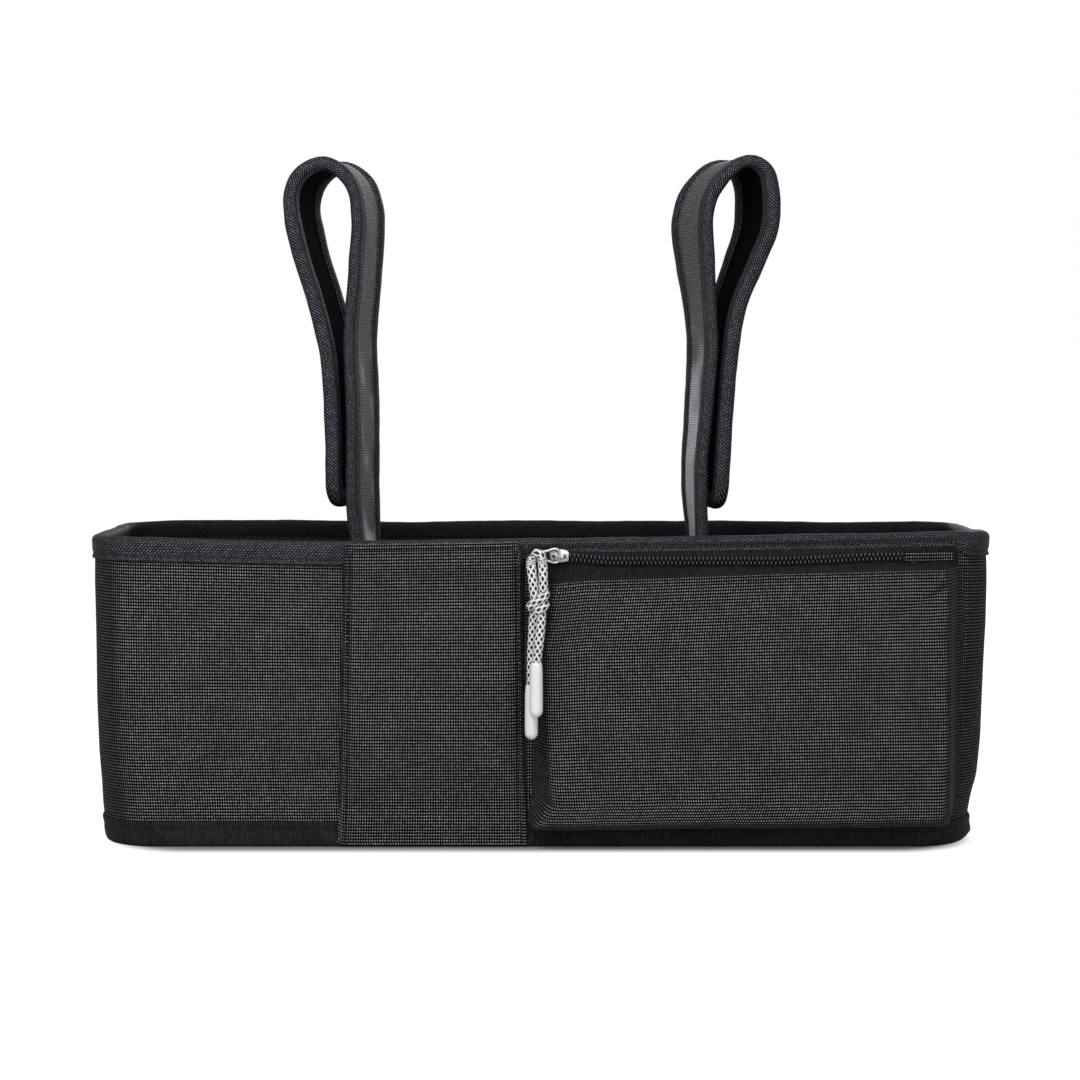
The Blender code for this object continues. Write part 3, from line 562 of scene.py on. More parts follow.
def hook_and_loop():
    f = Finish("hook_and_loop", 0.95, Specular_IOR_Level=0.02)
    pile = f.use(PILE, Place=f.place)
    colour = f.blend(f.times(pile["Tips"], 0.6), shade(5, 5, 6), shade(26, 26, 28))
    f.finish(colour, pile["Height"], depth=0.5 * MM, strength=0.9)


def thread():
    f = Finish("thread", 0.6, Specular_IOR_Level=0.1)
    ribs = f.use(RIBS, Weave=f.weave, Pitch=0.45 * MM, Waver=0.1)
    f.finish(f.blend(ribs["Ribs"], shade(9, 9, 11), shade(38, 38, 43)), ribs["Height"], depth=0.1 * MM)


# %% [markdown]
# The slider and its ring are bright plated metal with fine scuffs, and the zip's stops are blackened
# metal. The teeth are black nylon, and the cord's end sleeves are soft white rubber.

# %% Finishes: metal, nylon, cord, rubber
def slider_metal():
    f = Finish("slider_metal", 0.22, Metallic=1.0)
    scuffs = f.use(SCUFFS, Place=f.place)
    colour = f.blend(scuffs["Marks"], shade(164, 164, 167), shade(118, 118, 122))
    rough = f.fit(scuffs["Marks"], 0.16, 0.22)
    f.finish(colour, scuffs["Height"], depth=0.03 * MM, strength=0.3, roughness=rough)


def scuffed(name, roughness, colours, depth, **numbers):
    f = Finish(name, roughness, **numbers)
    scuffs = f.use(SCUFFS, Place=f.place)
    f.finish(f.blend(scuffs["Marks"], *colours), scuffs["Height"], depth=depth)


def braided_cord():
    f = Finish("braided_cord", 0.85, Sheen_Weight=0.1)
    braid = f.use(BRAID, Weave=f.weave)
    age = f.use(AGEING, Place=f.place, Cloud_scale=160.0)
    yarn = f.blend(age["Tone"], shade(238, 238, 236), shade(252, 252, 250))
    f.finish(f.blend(braid["Yarns"], shade(14, 14, 15), yarn), braid["Height"], depth=0.2 * MM)


def cord_tip():
    f = Finish("cord_tip", 0.5, Specular_IOR_Level=0.4)
    age = f.use(AGEING, Place=f.place, Cloud_scale=120.0)
    scuffs = f.use(SCUFFS, Place=f.place)
    colour = f.blend(age["Tone"], shade(238, 237, 233), shade(248, 247, 244))
    f.finish(colour, scuffs["Height"], depth=0.04 * MM)


for make in (dotted_fabric, lining, strap_face, hook_and_loop, thread, slider_metal, braided_cord, cord_tip):
    make()
scuffed("stop_metal", 0.4, (shade(30, 30, 32), shade(60, 60, 62)), 0.03 * MM, Metallic=1.0)
scuffed("zip_teeth", 0.3, (shade(6, 6, 7), shade(16, 16, 17)), 0.05 * MM, Specular_IOR_Level=0.5)
twill("twill_binding", (shade(6, 6, 8), shade(10, 10, 13)), shade(120, 122, 131))
# A darker copy of the binding's twill for the rim's inner side: painted shade.
twill("inner_twill_painted_shade", (shade(3, 3, 4), shade(7, 7, 9)), shade(48, 49, 54))
ribbed("ribbed_tape", shade(4, 4, 5), shade(58, 59, 62))
ribbed("zip_tape", shade(4, 4, 5), shade(50, 51, 52))
print("finishes:", len(FINISH))

# %% [markdown]
# ## The pull cord
# The real cord goes through the zip's ring, doubles back, takes an overhand knot and ends in two white
# sleeves. It is made first, as two braided lengths that start at the ring, one for each strand and tail.
# The braid is real relief: each ring of the tube swells where a pale yarn passes.

# %% Lines through points
def smooth_line(points, count):
    """count + 1 evenly spaced points along a Catmull-Rom curve through the points."""
    places = np.array(points, float)
    places = np.vstack([2 * places[0] - places[1], places, 2 * places[-1] - places[-2]])
    t = np.arange(24)[:, None] / 24
    fine = [b + 0.5 * ((c - a) * t + (2 * a - 5 * b + 4 * c - d) * t ** 2 + (3 * b - a - 3 * c + d) * t ** 3)
            for a, b, c, d in zip(places, places[1:], places[2:], places[3:])]
    fine = np.vstack([*fine, places[-2]])
    lengths = np.concatenate([[0.0], np.cumsum(np.linalg.norm(np.diff(fine, axis=0), axis=1))])
    at = np.linspace(0.0, lengths[-1], count + 1)
    return np.stack([np.interp(at, lengths, fine[:, k]) for k in range(fine.shape[1])], axis=1)


def line_length(line):
    return float(np.linalg.norm(np.diff(line, axis=0), axis=1).sum())


def frames_along(line):
    """Two directions square to the line at each point, carried along without twist."""
    ahead = np.gradient(line, axis=0)
    ahead /= np.linalg.norm(ahead, axis=1, keepdims=True)
    side = np.cross(ahead[0], (0.0, 1.0, 0.0) if abs(ahead[0][1]) < 0.9 else (1.0, 0.0, 0.0))
    sides = []
    for direction in ahead:
        side = side - direction * (side @ direction)
        side = side / np.linalg.norm(side)
        sides.append(side)
    sides = np.array(sides)
    return sides, np.cross(ahead, sides)


# %% A braided tube
BRAID_SIDES, BRAID_RELIEF, BRAID_GRAIN = 32, 0.16 * MM, 0.28 * MM


def yarn_height(turn, run):
    """1 in the middle of a pale yarn and 0 over the black core."""
    half = 1.15 * BRAID_SHARE / 2   # a little wider than the yarn is drawn
    ways = [np.abs((turn * BRAID_ROUND + way + 0.5) % 1.0 - 0.5) for way in (run, -run)]
    return np.sqrt(np.clip(1 - (np.minimum(*ways) / half) ** 2, 0.0, 1.0))


def braided_tube(name, route, diameter, taper=lambda share: 1.0 + 0 * share, start=0.0):
    """A closed tube along the route (metres) with the braid's relief; its UV map runs round and along."""
    length = line_length(smooth_line(route, 200))
    line = smooth_line(route, int(length / BRAID_GRAIN))
    sides, ups = frames_along(line)
    run = np.linspace(0.0, length, len(line)) + start
    turn = np.linspace(0.0, 1.0, BRAID_SIDES, endpoint=False)
    relief = BRAID_RELIEF * (yarn_height(turn[None, :], run[:, None] / BRAID_STEP) - 0.6)
    share = np.linspace(0.0, 1.0, len(line))
    radius = (diameter / 2 * taper(share))[:, None] + relief
    angle = 2 * math.pi * turn
    round_ = sides[:, None] * np.cos(angle)[None, :, None] + ups[:, None] * np.sin(angle)[None, :, None]
    rings = line[:, None] + round_ * radius[..., None]
    count, points = len(line), rings.reshape(-1, 3).tolist() + [line[0].tolist(), line[-1].tolist()]
    faces, uvs = [], []
    for i in range(count - 1):
        low, high = i * BRAID_SIDES, (i + 1) * BRAID_SIDES
        for j in range(BRAID_SIDES):
            k = (j + 1) % BRAID_SIDES
            faces.append((low + j, low + k, high + k, high + j))
            left, right = j / BRAID_SIDES, (j + 1) / BRAID_SIDES
            uvs += [(left, run[i]), (right, run[i]), (right, run[i + 1]), (left, run[i + 1])]
    for end, row, order in ((len(points) - 2, 0, -1), (len(points) - 1, count - 1, 1)):
        for j in range(BRAID_SIDES):
            pair = (row * BRAID_SIDES + j, row * BRAID_SIDES + (j + 1) % BRAID_SIDES)
            faces.append((end, *pair[::order]))
            uvs += [(j / BRAID_SIDES, run[row])] * 3
    return add_piece(name, new_mesh(name, points, faces, uvs), ["braided_cord"], "pull_cord"), line


# %% The two strands with their tails
CORD_DIAMETER = 4.0 * MM
STRAND_LEFT = ((-2.8, -65.0, 130.6), (-3.3, -66.2, 130.9), (-3.8, -67.3, 130.2), (-4.0, -69.2, 128.7),
               (-3.9, -72.2, 127.9), (-3.7, -75.7, 127.0), (-3.3, -77.8, 124.0), (-2.8, -78.5, 120.0),
               (-2.6, -78.6, 117.0), (-1.8, -78.2, 112.0))
STRAND_RIGHT = ((-2.6, -65.0, 132.0), (-1.9, -66.4, 133.1), (-0.8, -67.4, 133.4), (0.4, -67.6, 132.4),
                (0.9, -67.7, 130.6), (1.1, -69.4, 128.9), (1.2, -72.2, 127.9), (1.3, -75.7, 127.0),
                (1.4, -77.8, 124.0), (1.5, -78.5, 120.0), (1.6, -78.6, 117.0), (0.6, -79.0, 112.0))
TAIL_FRONT = ((0.6, -79.8, 107.0), (0.3, -80.8, 102.0), (-0.6, -81.8, 94.0), (-1.6, -82.2, 86.2))
TAIL_BACK = ((-2.6, -77.4, 107.0), (-3.0, -76.6, 102.0), (-3.6, -76.3, 90.0), (-3.8, -76.2, 75.6))


def pinched(share):
    """The cord is squeezed where it passes through the ring."""
    return 0.72 + 0.28 * ease(share, 0.0, 0.05)


cords = {}
for name, strand, tail in (("cord_front", STRAND_RIGHT, TAIL_FRONT), ("cord_back", STRAND_LEFT, TAIL_BACK)):
    piece, line = braided_tube(name, np.array(strand + tail) * MM, CORD_DIAMETER, pinched)
    cords[name] = (piece, line)
    print(f"{name}: {line_length(line) * 1000:.1f} mm")
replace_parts(cords["cord_front"][0], "cord_right", "cord_tail_front")
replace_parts(cords["cord_back"][0], "cord_left", "cord_tail_back")

# %% [markdown]
# The knot is one more turn of the same braid round both strands, tilted as a pulled overhand knot is. The
# sleeves are turned shapes: a soft mouth, a plain barrel and a rounded foot.

# %% Knot and sleeves
def cord_knot():
    turns = np.linspace(-0.15, 1.3, 40) * 2 * math.pi
    route = np.stack([-0.9 + 3.1 * np.cos(turns), -78.7 - 2.6 * np.sin(turns),
                      112.2 - 2.2 * (turns / math.pi - 1.15) + 1.5 * np.cos(turns)], axis=1)
    knot, _ = braided_tube("cord_knot_wrap", route[::3] * MM, CORD_DIAMETER * 1.02, start=1.3 * MM)
    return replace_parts(knot, "cord_knot")


SLEEVE_TOP = ((0.0, 0.6), (1.9, 0.6), (2.2, 0.45), (2.45, 0.0), (2.62, -1.2), (2.78, -4.0), (2.86, -9.0),
              (2.88, -15.0), (2.86, -20.2))   # radius and height
SLEEVE_RADIUS, SLEEVE_FOOT, SLEEVE_ROUND, SLEEVE_SIDES = 2.86, 20.6, 2.9, 40


def close_seams(piece, distance):
    piece.modifiers.new("Close the seams", "WELD").merge_threshold = distance


def cord_sleeve(name, top, node):
    """A turned sleeve that hangs from the point where its cord ends."""
    foot = [(SLEEVE_RADIUS * math.cos(a), -SLEEVE_FOOT - SLEEVE_ROUND * math.sin(a))
            for a in np.linspace(0.12, math.pi / 2, 9)[:-1]]
    profile = [*SLEEVE_TOP, *foot, (0.0, -SLEEVE_FOOT - SLEEVE_ROUND)]
    steps, points, faces = SLEEVE_SIDES, [], []
    for x, z in profile:
        for step in range(steps):
            angle = 2 * math.pi * step / steps
            offset = (x * math.cos(angle), x * math.sin(angle), z)
            points.append([(a + b) * MM for a, b in zip(top, offset)])
    for i in range(len(profile) - 1):
        for j in range(steps):
            k = (j + 1) % steps
            faces.append((i * steps + j, (i + 1) * steps + j, (i + 1) * steps + k, i * steps + k))
    piece = add_piece(name, new_mesh(name, points, faces), ["cord_tip"], "pull_cord")
    close_seams(piece, 0.01 * MM)
    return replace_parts(piece, node)


knot = cord_knot()
sleeve_front = cord_sleeve("cord_sleeve_front", TAIL_FRONT[-1], "cord_tip_front")
sleeve_back = cord_sleeve("cord_sleeve_back", TAIL_BACK[-1], "cord_tip_back")
for name, pieces in (("cord_front", [sleeve_front, knot]), ("cord_back", [sleeve_back])):
    piece, line = cords[name]

# %% [markdown]
# ## The basket's shape
# The basket is a rounded oblong that widens a little to its rim. A station round it is a place on
# straight sides and quarter circles, so one table of knots gives every point. The left and right ends
# have their own slopes, and the front of the rim rises and dips as the photograph shows.

# %% Stations round the basket
CORNER_RADIUS = 24.0 * MM
WALL_THICKNESS, WALL_HEIGHT = 3.0 * MM, 137.0 * MM
LEFT_REACH = ((0, 197.6), (9, 199.4), (40, 201.4), (67, 202.0), (125, 201.9), (137, 201.8))
RIGHT_REACH = ((0, 192.8), (3.5, 196.0), (12, 195.6), (30, 199.6), (47, 201.1), (98, 202.8), (125, 202.6),
               (137, 202.0))
RIM_WAVE = ((-203, 0.3), (-166, -0.4), (-89, -2.0), (2, -0.6), (27, -0.1), (100, 0.9), (147, 1.8), (182, 2.8),
            (204, 1.6))
STRAIGHT_X, STRAIGHT_Y, CORNER_RUN = 176.0 * MM, 31.5 * MM, math.pi / 2 * CORNER_RADIUS
LONG_SIDE, SHORT_SIDE = (2 * STRAIGHT_X, CORNER_RUN), (2 * STRAIGHT_Y, CORNER_RUN)
RUNS = (STRAIGHT_X, CORNER_RUN, *SHORT_SIDE, *LONG_SIDE, *SHORT_SIDE, STRAIGHT_X)
KNOTS = np.concatenate([[0.0], np.cumsum(RUNS)])
AROUND, STATIONS = KNOTS[-1], 372
FOOT_HALF_DEPTH, RIM_HALF_DEPTH = 54.0, 57.0
TAPE_THICKNESS = 0.7 * MM


def half_depth(z):
    return mix(FOOT_HALF_DEPTH, RIM_HALF_DEPTH, z / WALL_HEIGHT) * MM


def basket(station, z, outset):
    """Points of the basket at stations round it (metres from the middle of the back), heights and outsets."""
    across = np.interp(station, KNOTS, (0, -1, -1, -1, -1, 1, 1, 1, 1, 0))
    deep = np.interp(station, KNOTS, (1, 1, 1, -1, -1, -1, -1, 1, 1, 1))
    angle = np.radians(np.interp(station, KNOTS, (90, 90, 180, 180, 270, 270, 360, 360, 450, 450)))
    reach = np.where(across < 0, table(z / MM, LEFT_REACH), table(z / MM, RIGHT_REACH)) * MM
    radius = CORNER_RADIUS + outset
    x = across * (reach - CORNER_RADIUS) + radius * np.cos(angle)
    y = deep * (half_depth(z) - CORNER_RADIUS) + radius * np.sin(angle)
    return xyz(x, y, z)


def settle(points):
    """The rise and dip of the front of the rim, which fades towards the foot and the back."""
    x, y, z = points[..., 0], points[..., 1], points[..., 2]
    wave = table(x / MM, RIM_WAVE) * MM * ease(-y, -0.02, 0.05) * ease(z, 0.05, 0.135)
    back = 0.5 * MM * ripples(points, 0.12, 5) * ease(y, 0.02, 0.05) * ease(z, 0.09, 0.135)
    moved = points.copy()
    moved[..., 2] += wave + back
    return moved


def ring_grid(heights, outsets):
    """A grid round the whole basket: heights and outsets are rows, or (STATIONS, rows) where they vary."""
    station = np.linspace(0.0, AROUND, STATIONS, endpoint=False)[:, None]
    heights = np.broadcast_to(heights, (STATIONS, np.shape(heights)[-1]))
    outsets = np.broadcast_to(outsets, heights.shape)
    return basket(np.broadcast_to(station, heights.shape), heights, outsets)


# %% [markdown]
# The wall is padded cloth, dotted outside and plain inside, between two soft skins 3 mm apart. Long waves
# keep its faces from looking like sheet metal, and shorter puckers run along the foot, where the tape
# draws it in.

# %% The wall
def basket_wall():
    heights = np.concatenate([np.linspace(0.6, 14.0, 7), np.linspace(17.0, 137.0, 42)]) * MM
    front = settle(ring_grid(heights, 0.0 * heights))
    z = front[..., 2]
    soft = 0.55 * ripples(front, 0.085, 11) * ease(z, 0.012, 0.04) * (1 - 0.8 * ease(z, 0.115, 0.13))
    soft += 0.30 * ripples(front, 0.022, 12) * near(z, 0.018, 0.010)
    normal = normals_of(front, closed=True)
    front = front + normal * (soft * MM)[..., None]
    wall = sewn("basket_wall", front, WALL_THICKNESS, ["dotted_fabric", "lining"], normal, closed=True)
    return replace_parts(wall, "side_wall")


basket_wall()

# %% [markdown]
# ## Sewing thread
# A row of stitches is a row of small humps of thread on the cloth. One helper lays them along any line,
# each hump a little capsule that sinks into the cloth at both ends.

# %% Stitches along a line
STITCH_SIDES = 6
STITCH_PLACES = np.array((-0.5, -0.42, -0.2, 0.2, 0.42, 0.5))   # shares of a stitch's length
STITCH_SWELL = np.array((0.25, 0.75, 1.0, 1.0, 0.75, 0.25)) / 2   # shares of its thickness
STITCH_LIFT = np.array((-0.30, 0.0, 0.16, 0.16, 0.0, -0.30)) * MM


def stitch_row(name, line, outward, pitch=3.2 * MM, length=2.3 * MM, thickness=0.5 * MM, closed=False):
    """line and outward are (n, 3): the seam's course and the direction away from the cloth."""
    if closed:
        line, outward = np.vstack([line, line[:1]]), np.vstack([outward, outward[:1]])
    run = np.concatenate([[0.0], np.cumsum(np.linalg.norm(np.diff(line, axis=0), axis=1))])
    at = np.arange(pitch / 2, run[-1] - pitch / 4, pitch)
    read = lambda values, places: np.stack([np.interp(places, run, values[:, k]) for k in range(3)], axis=1)
    angle = np.linspace(0, 2 * math.pi, STITCH_SIDES, endpoint=False)
    up = read(outward, at)
    up /= np.linalg.norm(up, axis=1, keepdims=True)
    ahead = read(line, at + 0.4 * MM) - read(line, at - 0.4 * MM)
    ahead /= np.linalg.norm(ahead, axis=1, keepdims=True)
    side = np.cross(ahead, up)
    rings = np.stack([read(line, at + share * length) + up * lift
                      for share, lift in zip(STITCH_PLACES, STITCH_LIFT)], axis=1)
    wrap = side[:, None] * np.cos(angle)[None, :, None] + up[:, None] * np.sin(angle)[None, :, None]
    points = rings[:, :, None] + wrap[:, None] * (STITCH_SWELL * thickness)[None, :, None, None]
    size = len(STITCH_PLACES) * STITCH_SIDES
    pairs = [(j, (j + 1) % STITCH_SIDES) for j in range(STITCH_SIDES)]
    one = [(r + j, r + k, r + STITCH_SIDES + k, r + STITCH_SIDES + j)
           for r in range(0, size - STITCH_SIDES, STITCH_SIDES) for j, k in pairs]
    caps = [tuple(range(STITCH_SIDES))[::-1], tuple(range(size - STITCH_SIDES, size))]
    faces = [tuple(i + k * size for i in face) for k in range(len(at)) for face in one + caps]
    run_along = np.tile(np.repeat((STITCH_PLACES + 0.5) * length, STITCH_SIDES), len(at))
    corners = [corner for face in faces for corner in face]
    weave = np.stack([run_along, 0 * run_along], axis=1)[corners]
    mesh = new_mesh(name, points.reshape(-1, 3).tolist(), faces, weave)
    return add_piece(name, mesh, ["thread"], "organizer")


# %% [markdown]
# ## The rim
# Twill tape is folded over the wall's top edge and sewn through. It stands full above the seam, is
# pinched at the seam, and its edge lips out below. Over the pouch the tape's front leg is shorter,
# because the zip's tape comes out from under it there.

# %% Rim binding
FOOT_LEFT, FOOT_ZIP, SEAM_RISE = 129.0, 132.7, 2.3
OUTER_LEG = ((0.55, 0.0), (1.05, 0.05), (1.3, 0.5), (1.3, 1.2), (0.95, 1.8), (0.72, SEAM_RISE), (1.0, 2.8),
             (1.4, 3.5))   # outset, height over the tape's foot
INNER_LEG = ((1.62, 136.9), (1.5, 134.8), (1.35, 132.6), (1.0, 131.9), (0.72, 131.3), (1.0, 130.7),
             (1.3, 130.1), (1.3, 129.5), (1.05, 129.05), (0.55, 129.0))   # outset from the inner skin, height
ROLL_MIDDLE, ROLL_REACH, ROLL_RISE = -1.5, 3.12, 2.75


def rim_binding():
    at = ring_grid([0.13], [0.0])[:, 0]
    over_zip = ease(at[:, 0], -9 * MM, -2 * MM) * (1 - ease(at[:, 0], 184 * MM, 190 * MM)) * (at[:, 1] < 0)
    foot = mix(FOOT_LEFT, FOOT_ZIP, over_zip)
    section = [(out, foot + up) for out, up in OUTER_LEG]
    section += [(mix(1.4, 1.62, share), mix(foot + 3.5, 136.9, share)) for share in (0.33, 0.66, 1.0)]
    section += [(ROLL_MIDDLE + ROLL_REACH * math.cos(angle), 137.0 + ROLL_RISE * math.sin(angle))
                for angle in np.linspace(0, math.pi, 13)[1:-1]]
    section += [(-3.0 - out, z) for out, z in INNER_LEG]
    outsets, heights = (np.array([value + 0 * foot for value in column]).T * MM for column in zip(*section))
    front = settle(ring_grid(heights, outsets))
    normal = normals_of(front, closed=True)
    full = np.array([near(row, 9, 4) + near(row, 18, 6) for row in range(front.shape[1])])
    soft = 0.28 * ripples(front, 0.035, 21) * full + 0.1 * ripples(front, 0.009, 22)
    front = front + normal * (soft * MM)[..., None]
    # Rows from turn_row on, the rim's inner side, get the darker twill as painted shade.
    binding = sewn("rim_tape", front, TAPE_THICKNESS, ["twill_binding", "inner_twill_painted_shade"], normal, closed=True,
                   turn_row=16)
    for name, row in (("rim_stitches_outer", 5), ("rim_stitches_inner", front.shape[1] - 6)):
        stitch_row(name, front[:, row], normal[:, row], closed=True)
    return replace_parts(binding, "rim_binding")


rim_binding()

# %% [markdown]
# ## The foot
# A ribbed tape goes round the foot, sewn 4 mm below its upper edge, and the tape's lower edge turns under
# the base. Inside, a padded panel lies on the bottom.

# %% Base tape and base panel
BASE_SECTION = ((-1.2, 0.15), (0.2, 0.1), (0.9, 0.7), (1.15, 2.0), (1.2, 4.0), (1.1, 6.0), (0.85, 7.2),
                (0.55, 8.0), (0.85, 8.8), (1.05, 9.6), (1.1, 10.6), (0.95, 11.4), (0.5, 11.7))


def base_tape():
    outsets, heights = (np.array(column) * MM for column in zip(*BASE_SECTION))
    front = ring_grid(heights, outsets)
    normal = normals_of(front, closed=True)
    soft = 0.18 * MM * ripples(front, 0.018, 31) * ease(front[..., 2], 0.001, 0.004)
    front = front + normal * soft[..., None]
    front[..., 2] = np.maximum(front[..., 2], 0.1 * MM)
    tape = sewn("base_tape", front, TAPE_THICKNESS, ["ribbed_tape"], normal, closed=True)
    stitch_row("base_stitches", front[:, 7], normal[:, 7], closed=True, pitch=3.4 * MM)
    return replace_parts(tape, "base_binding")


PAD_HALF_X, PAD_HALF_Y, PAD_CORNER = 193.5 * MM, 52.5 * MM, 22.5 * MM
PAD_LEFT = 1.014   # the wall's left end stands further out


def base_panel():
    x = np.sin(np.linspace(-math.pi / 2, math.pi / 2, 90)) * PAD_HALF_X
    past = np.clip(np.abs(x) - (PAD_HALF_X - PAD_CORNER), 0.0, PAD_CORNER)
    limit = PAD_HALF_Y - PAD_CORNER + np.sqrt(np.maximum(PAD_CORNER ** 2 - past ** 2, 0.0))
    x, y = np.where(x < 0, x * PAD_LEFT, x)[:, None], limit[:, None] * np.linspace(-1.0, 1.0, 30)[None]
    edge = ease(195 * MM - np.abs(x), 3 * MM, 14 * MM)
    top = xyz(x, y, (3.1 + 0.5 * edge) * MM)
    top[..., 2] += 0.25 * MM * ripples(top, 0.04, 41)
    under = xyz(x, y, 0.35 * MM)
    panel = cloth("base_pad", top, under, ["lining", "ribbed_tape"])
    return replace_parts(panel, "base_panel")


base_tape()
base_panel()

# %% [markdown]
# ## Inner dividers
# Two padded panels split the basket in three. Each is a soft board with a bound top edge, and the straps
# are sewn to their faces.

# %% Dividers
DIVIDER_AT, DIVIDER_TOP, DIVIDER_FOOT = 81.85, 101.5, 4.1
DIVIDER_HALF, DIVIDER_PAD, DIVIDER_GAP = 0.9, 0.35, 3.5   # half its thickness, swell, gap to the walls


def divider(label, x):
    heights = np.linspace(DIVIDER_FOOT, DIVIDER_TOP, 30)
    y_share, z = np.meshgrid(np.linspace(-1, 1, 30), heights, indexing="ij")
    y = y_share * (half_depth(z * MM) / MM - DIVIDER_GAP)
    pad = DIVIDER_PAD * (1 - np.abs(y_share) ** 6) * (1 - near(z, DIVIDER_TOP, 5.0))
    faces = []
    for side in (1, -1):
        face = xyz(x + side * (DIVIDER_HALF + pad), y, z) * MM
        face[..., 0] += 0.2 * MM * ripples(face, 0.05, 51) * pad
        faces.append(face)
    board = cloth(f"divider_{label}_board", faces[0], faces[1], ["lining"])
    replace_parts(board, f"divider_{label}")
    angle = np.radians(np.linspace(-50, 230, 15))[None, :]
    along = np.linspace(-1, 1, 40)[:, None]
    y = along * (half_depth(0.1) / MM - 3.7)
    round_z = 1.9 * np.sin(angle) * (1 + 0.03 * np.cos(9 * y))
    edge = xyz(x + 1.65 * np.cos(angle), y, DIVIDER_TOP - 1.4 + round_z) * MM
    sewn(f"divider_{label}_edge", edge[::-1], 0.4 * MM, ["twill_binding"])


divider("left", -DIVIDER_AT)
divider("right", DIVIDER_AT)

# %% [markdown]
# ## The slip pocket
# The slip pocket is a flat panel sewn down both sides, with a folded hem. The seam runs 3 mm inside its
# edges and cuts the two top corners. The panel stands off the wall for a phone, so it curves back to the
# wall at its sides.

# %% Slip pocket
SLIP_TOP, SLIP_STAND, SLIP_HEM, SLIP_THICKNESS = 139.0, 7.5, 3.0, 1.4 * MM


def wall_depth(x, z):
    """How far forward the wall's front lies, in millimetres, also round the basket's right front corner."""
    corner = CORNER_RADIUS / MM
    past = np.clip(x - (table(z, RIGHT_REACH) - corner), 0.0, corner)
    return half_depth(np.minimum(z, 137.0) * MM) / MM - corner + np.sqrt(corner ** 2 - past ** 2)


def slip_sides(z):
    left = table(z, ((0, -90.3), (3, -91.0), (12, -90.4), (139, -87.2)))
    return left, table(z, ((0, -6.0), (40, -6.3), (139, -7.2)))


def slip_point(x, z):
    """The panel's front face over a place on the wall, all in millimetres."""
    left, right = slip_sides(z)
    inset, under = np.minimum(x - left, right - x), SLIP_TOP - z
    from_edge = np.minimum(np.minimum(inset, under), (inset + under - 4.0) / math.sqrt(2))
    swell = rise(x - left, 12.0) * rise(right - x, 12.0) * ease(z, 1.5, 50.0)
    seat = 2.1 * ease(z, 122.0, 129.0) + 1.6 * (1 - ease(z, 11.0, 19.0))
    seam = 1.0 * near(from_edge, SLIP_HEM, 0.55) - 0.35 * near(from_edge, 1.4, 0.9)
    out = 0.9 + seat + SLIP_STAND * swell - seam - 0.9 * ease(z, 133.0, 139.5)
    point = xyz(x, -(wall_depth(x, z) + out), z) * MM
    point[..., 1] -= 0.45 * MM * ripples(point, 0.06, 61) * swell * (1 - ease(z, 125.0, 135.0))
    return settle(point)


def slip_pocket():
    across, up = np.meshgrid(both_ends(120), both_ends(120), indexing="ij")
    dip = 2.6 * ease(across, 0.965, 1.0) + 0.8 * (1 - ease(across, 0.0, 0.025))
    z = mix(1.1 + 1.2 * (1 - ease(across, 0.0, 0.03)), SLIP_TOP - dip, up)
    left, right = slip_sides(z)
    front = slip_point(mix(left, right, across), z)
    panel = sewn("slip_pocket_panel", front, SLIP_THICKNESS, ["dotted_fabric", "lining"])
    low, high, cut = 4.0, SLIP_TOP - SLIP_HEM, 2.3
    left, right = (side + shift for side, shift in zip(slip_sides(70.0), (SLIP_HEM, -SLIP_HEM)))
    course = [(left - 0.9, low), (left, 70), (left + 0.8, high - cut), (left + cut, high),
              (right - cut, high), (right, high - cut), (right + 0.6, 70), (right + 0.9, low)]
    course = np.vstack([np.linspace(a, b, 40) for a, b in zip(course, course[1:])])
    line = slip_point(course[:, 0], course[:, 1])
    stitch_row("slip_stitches", line, np.tile((0.0, -1.0, 0.0), (len(line), 1)))
    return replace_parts(panel, "slip_pocket")


slip_pocket()

# %% [markdown]
# ## The zipped pouch
# The pouch is a box of cloth on the wall: a front, two narrow gussets, a round foot and a hem under the
# zip. Its path across is laid row by row with sharp corners and then softened. Its foot sags over the
# basket's base band. A crease and a dent at the upper right, the pinched lower left corner and the
# shallow groove under the hem are pressed into it.

# %% Pouch
POUCH_STAND, FOOT_SAG, POUCH_THICKNESS = 15.5, 5.4, 1.1 * MM
SEAM_LEFT, SEAM_RIGHT, FLANGE_END = -5.8, 185.6, 190.4
HEM = ((-6, 119.9), (6.6, 120.2), (20, 121.6), (53, 122.7), (101, 124.6), (137, 125.4), (163, 126.2),
       (190, 126.8))   # x, height
EDGE_LEFT = ((12, -5.6), (16, -4.0), (20, 0.0), (27, 5.2), (34, 4.4), (60, 3.0), (91, 2.4), (112, 5.4),
             (121, 7.0))   # height, x
EDGE_RIGHT = ((12, 182.8), (40, 182.0), (100, 180.0), (124, 179.4))
CREASE_FROM, CREASE_TO, DENT = np.array((178.5, 117.6)), np.array((154.0, 103.5)), np.array((177.5, 110.3))


def soften(values, passes):
    for _ in range(passes):
        padded = np.concatenate([values[:1], values, values[-1:]])
        values = 0.25 * padded[:-2] + 0.5 * padded[1:-1] + 0.25 * padded[2:]
    return values


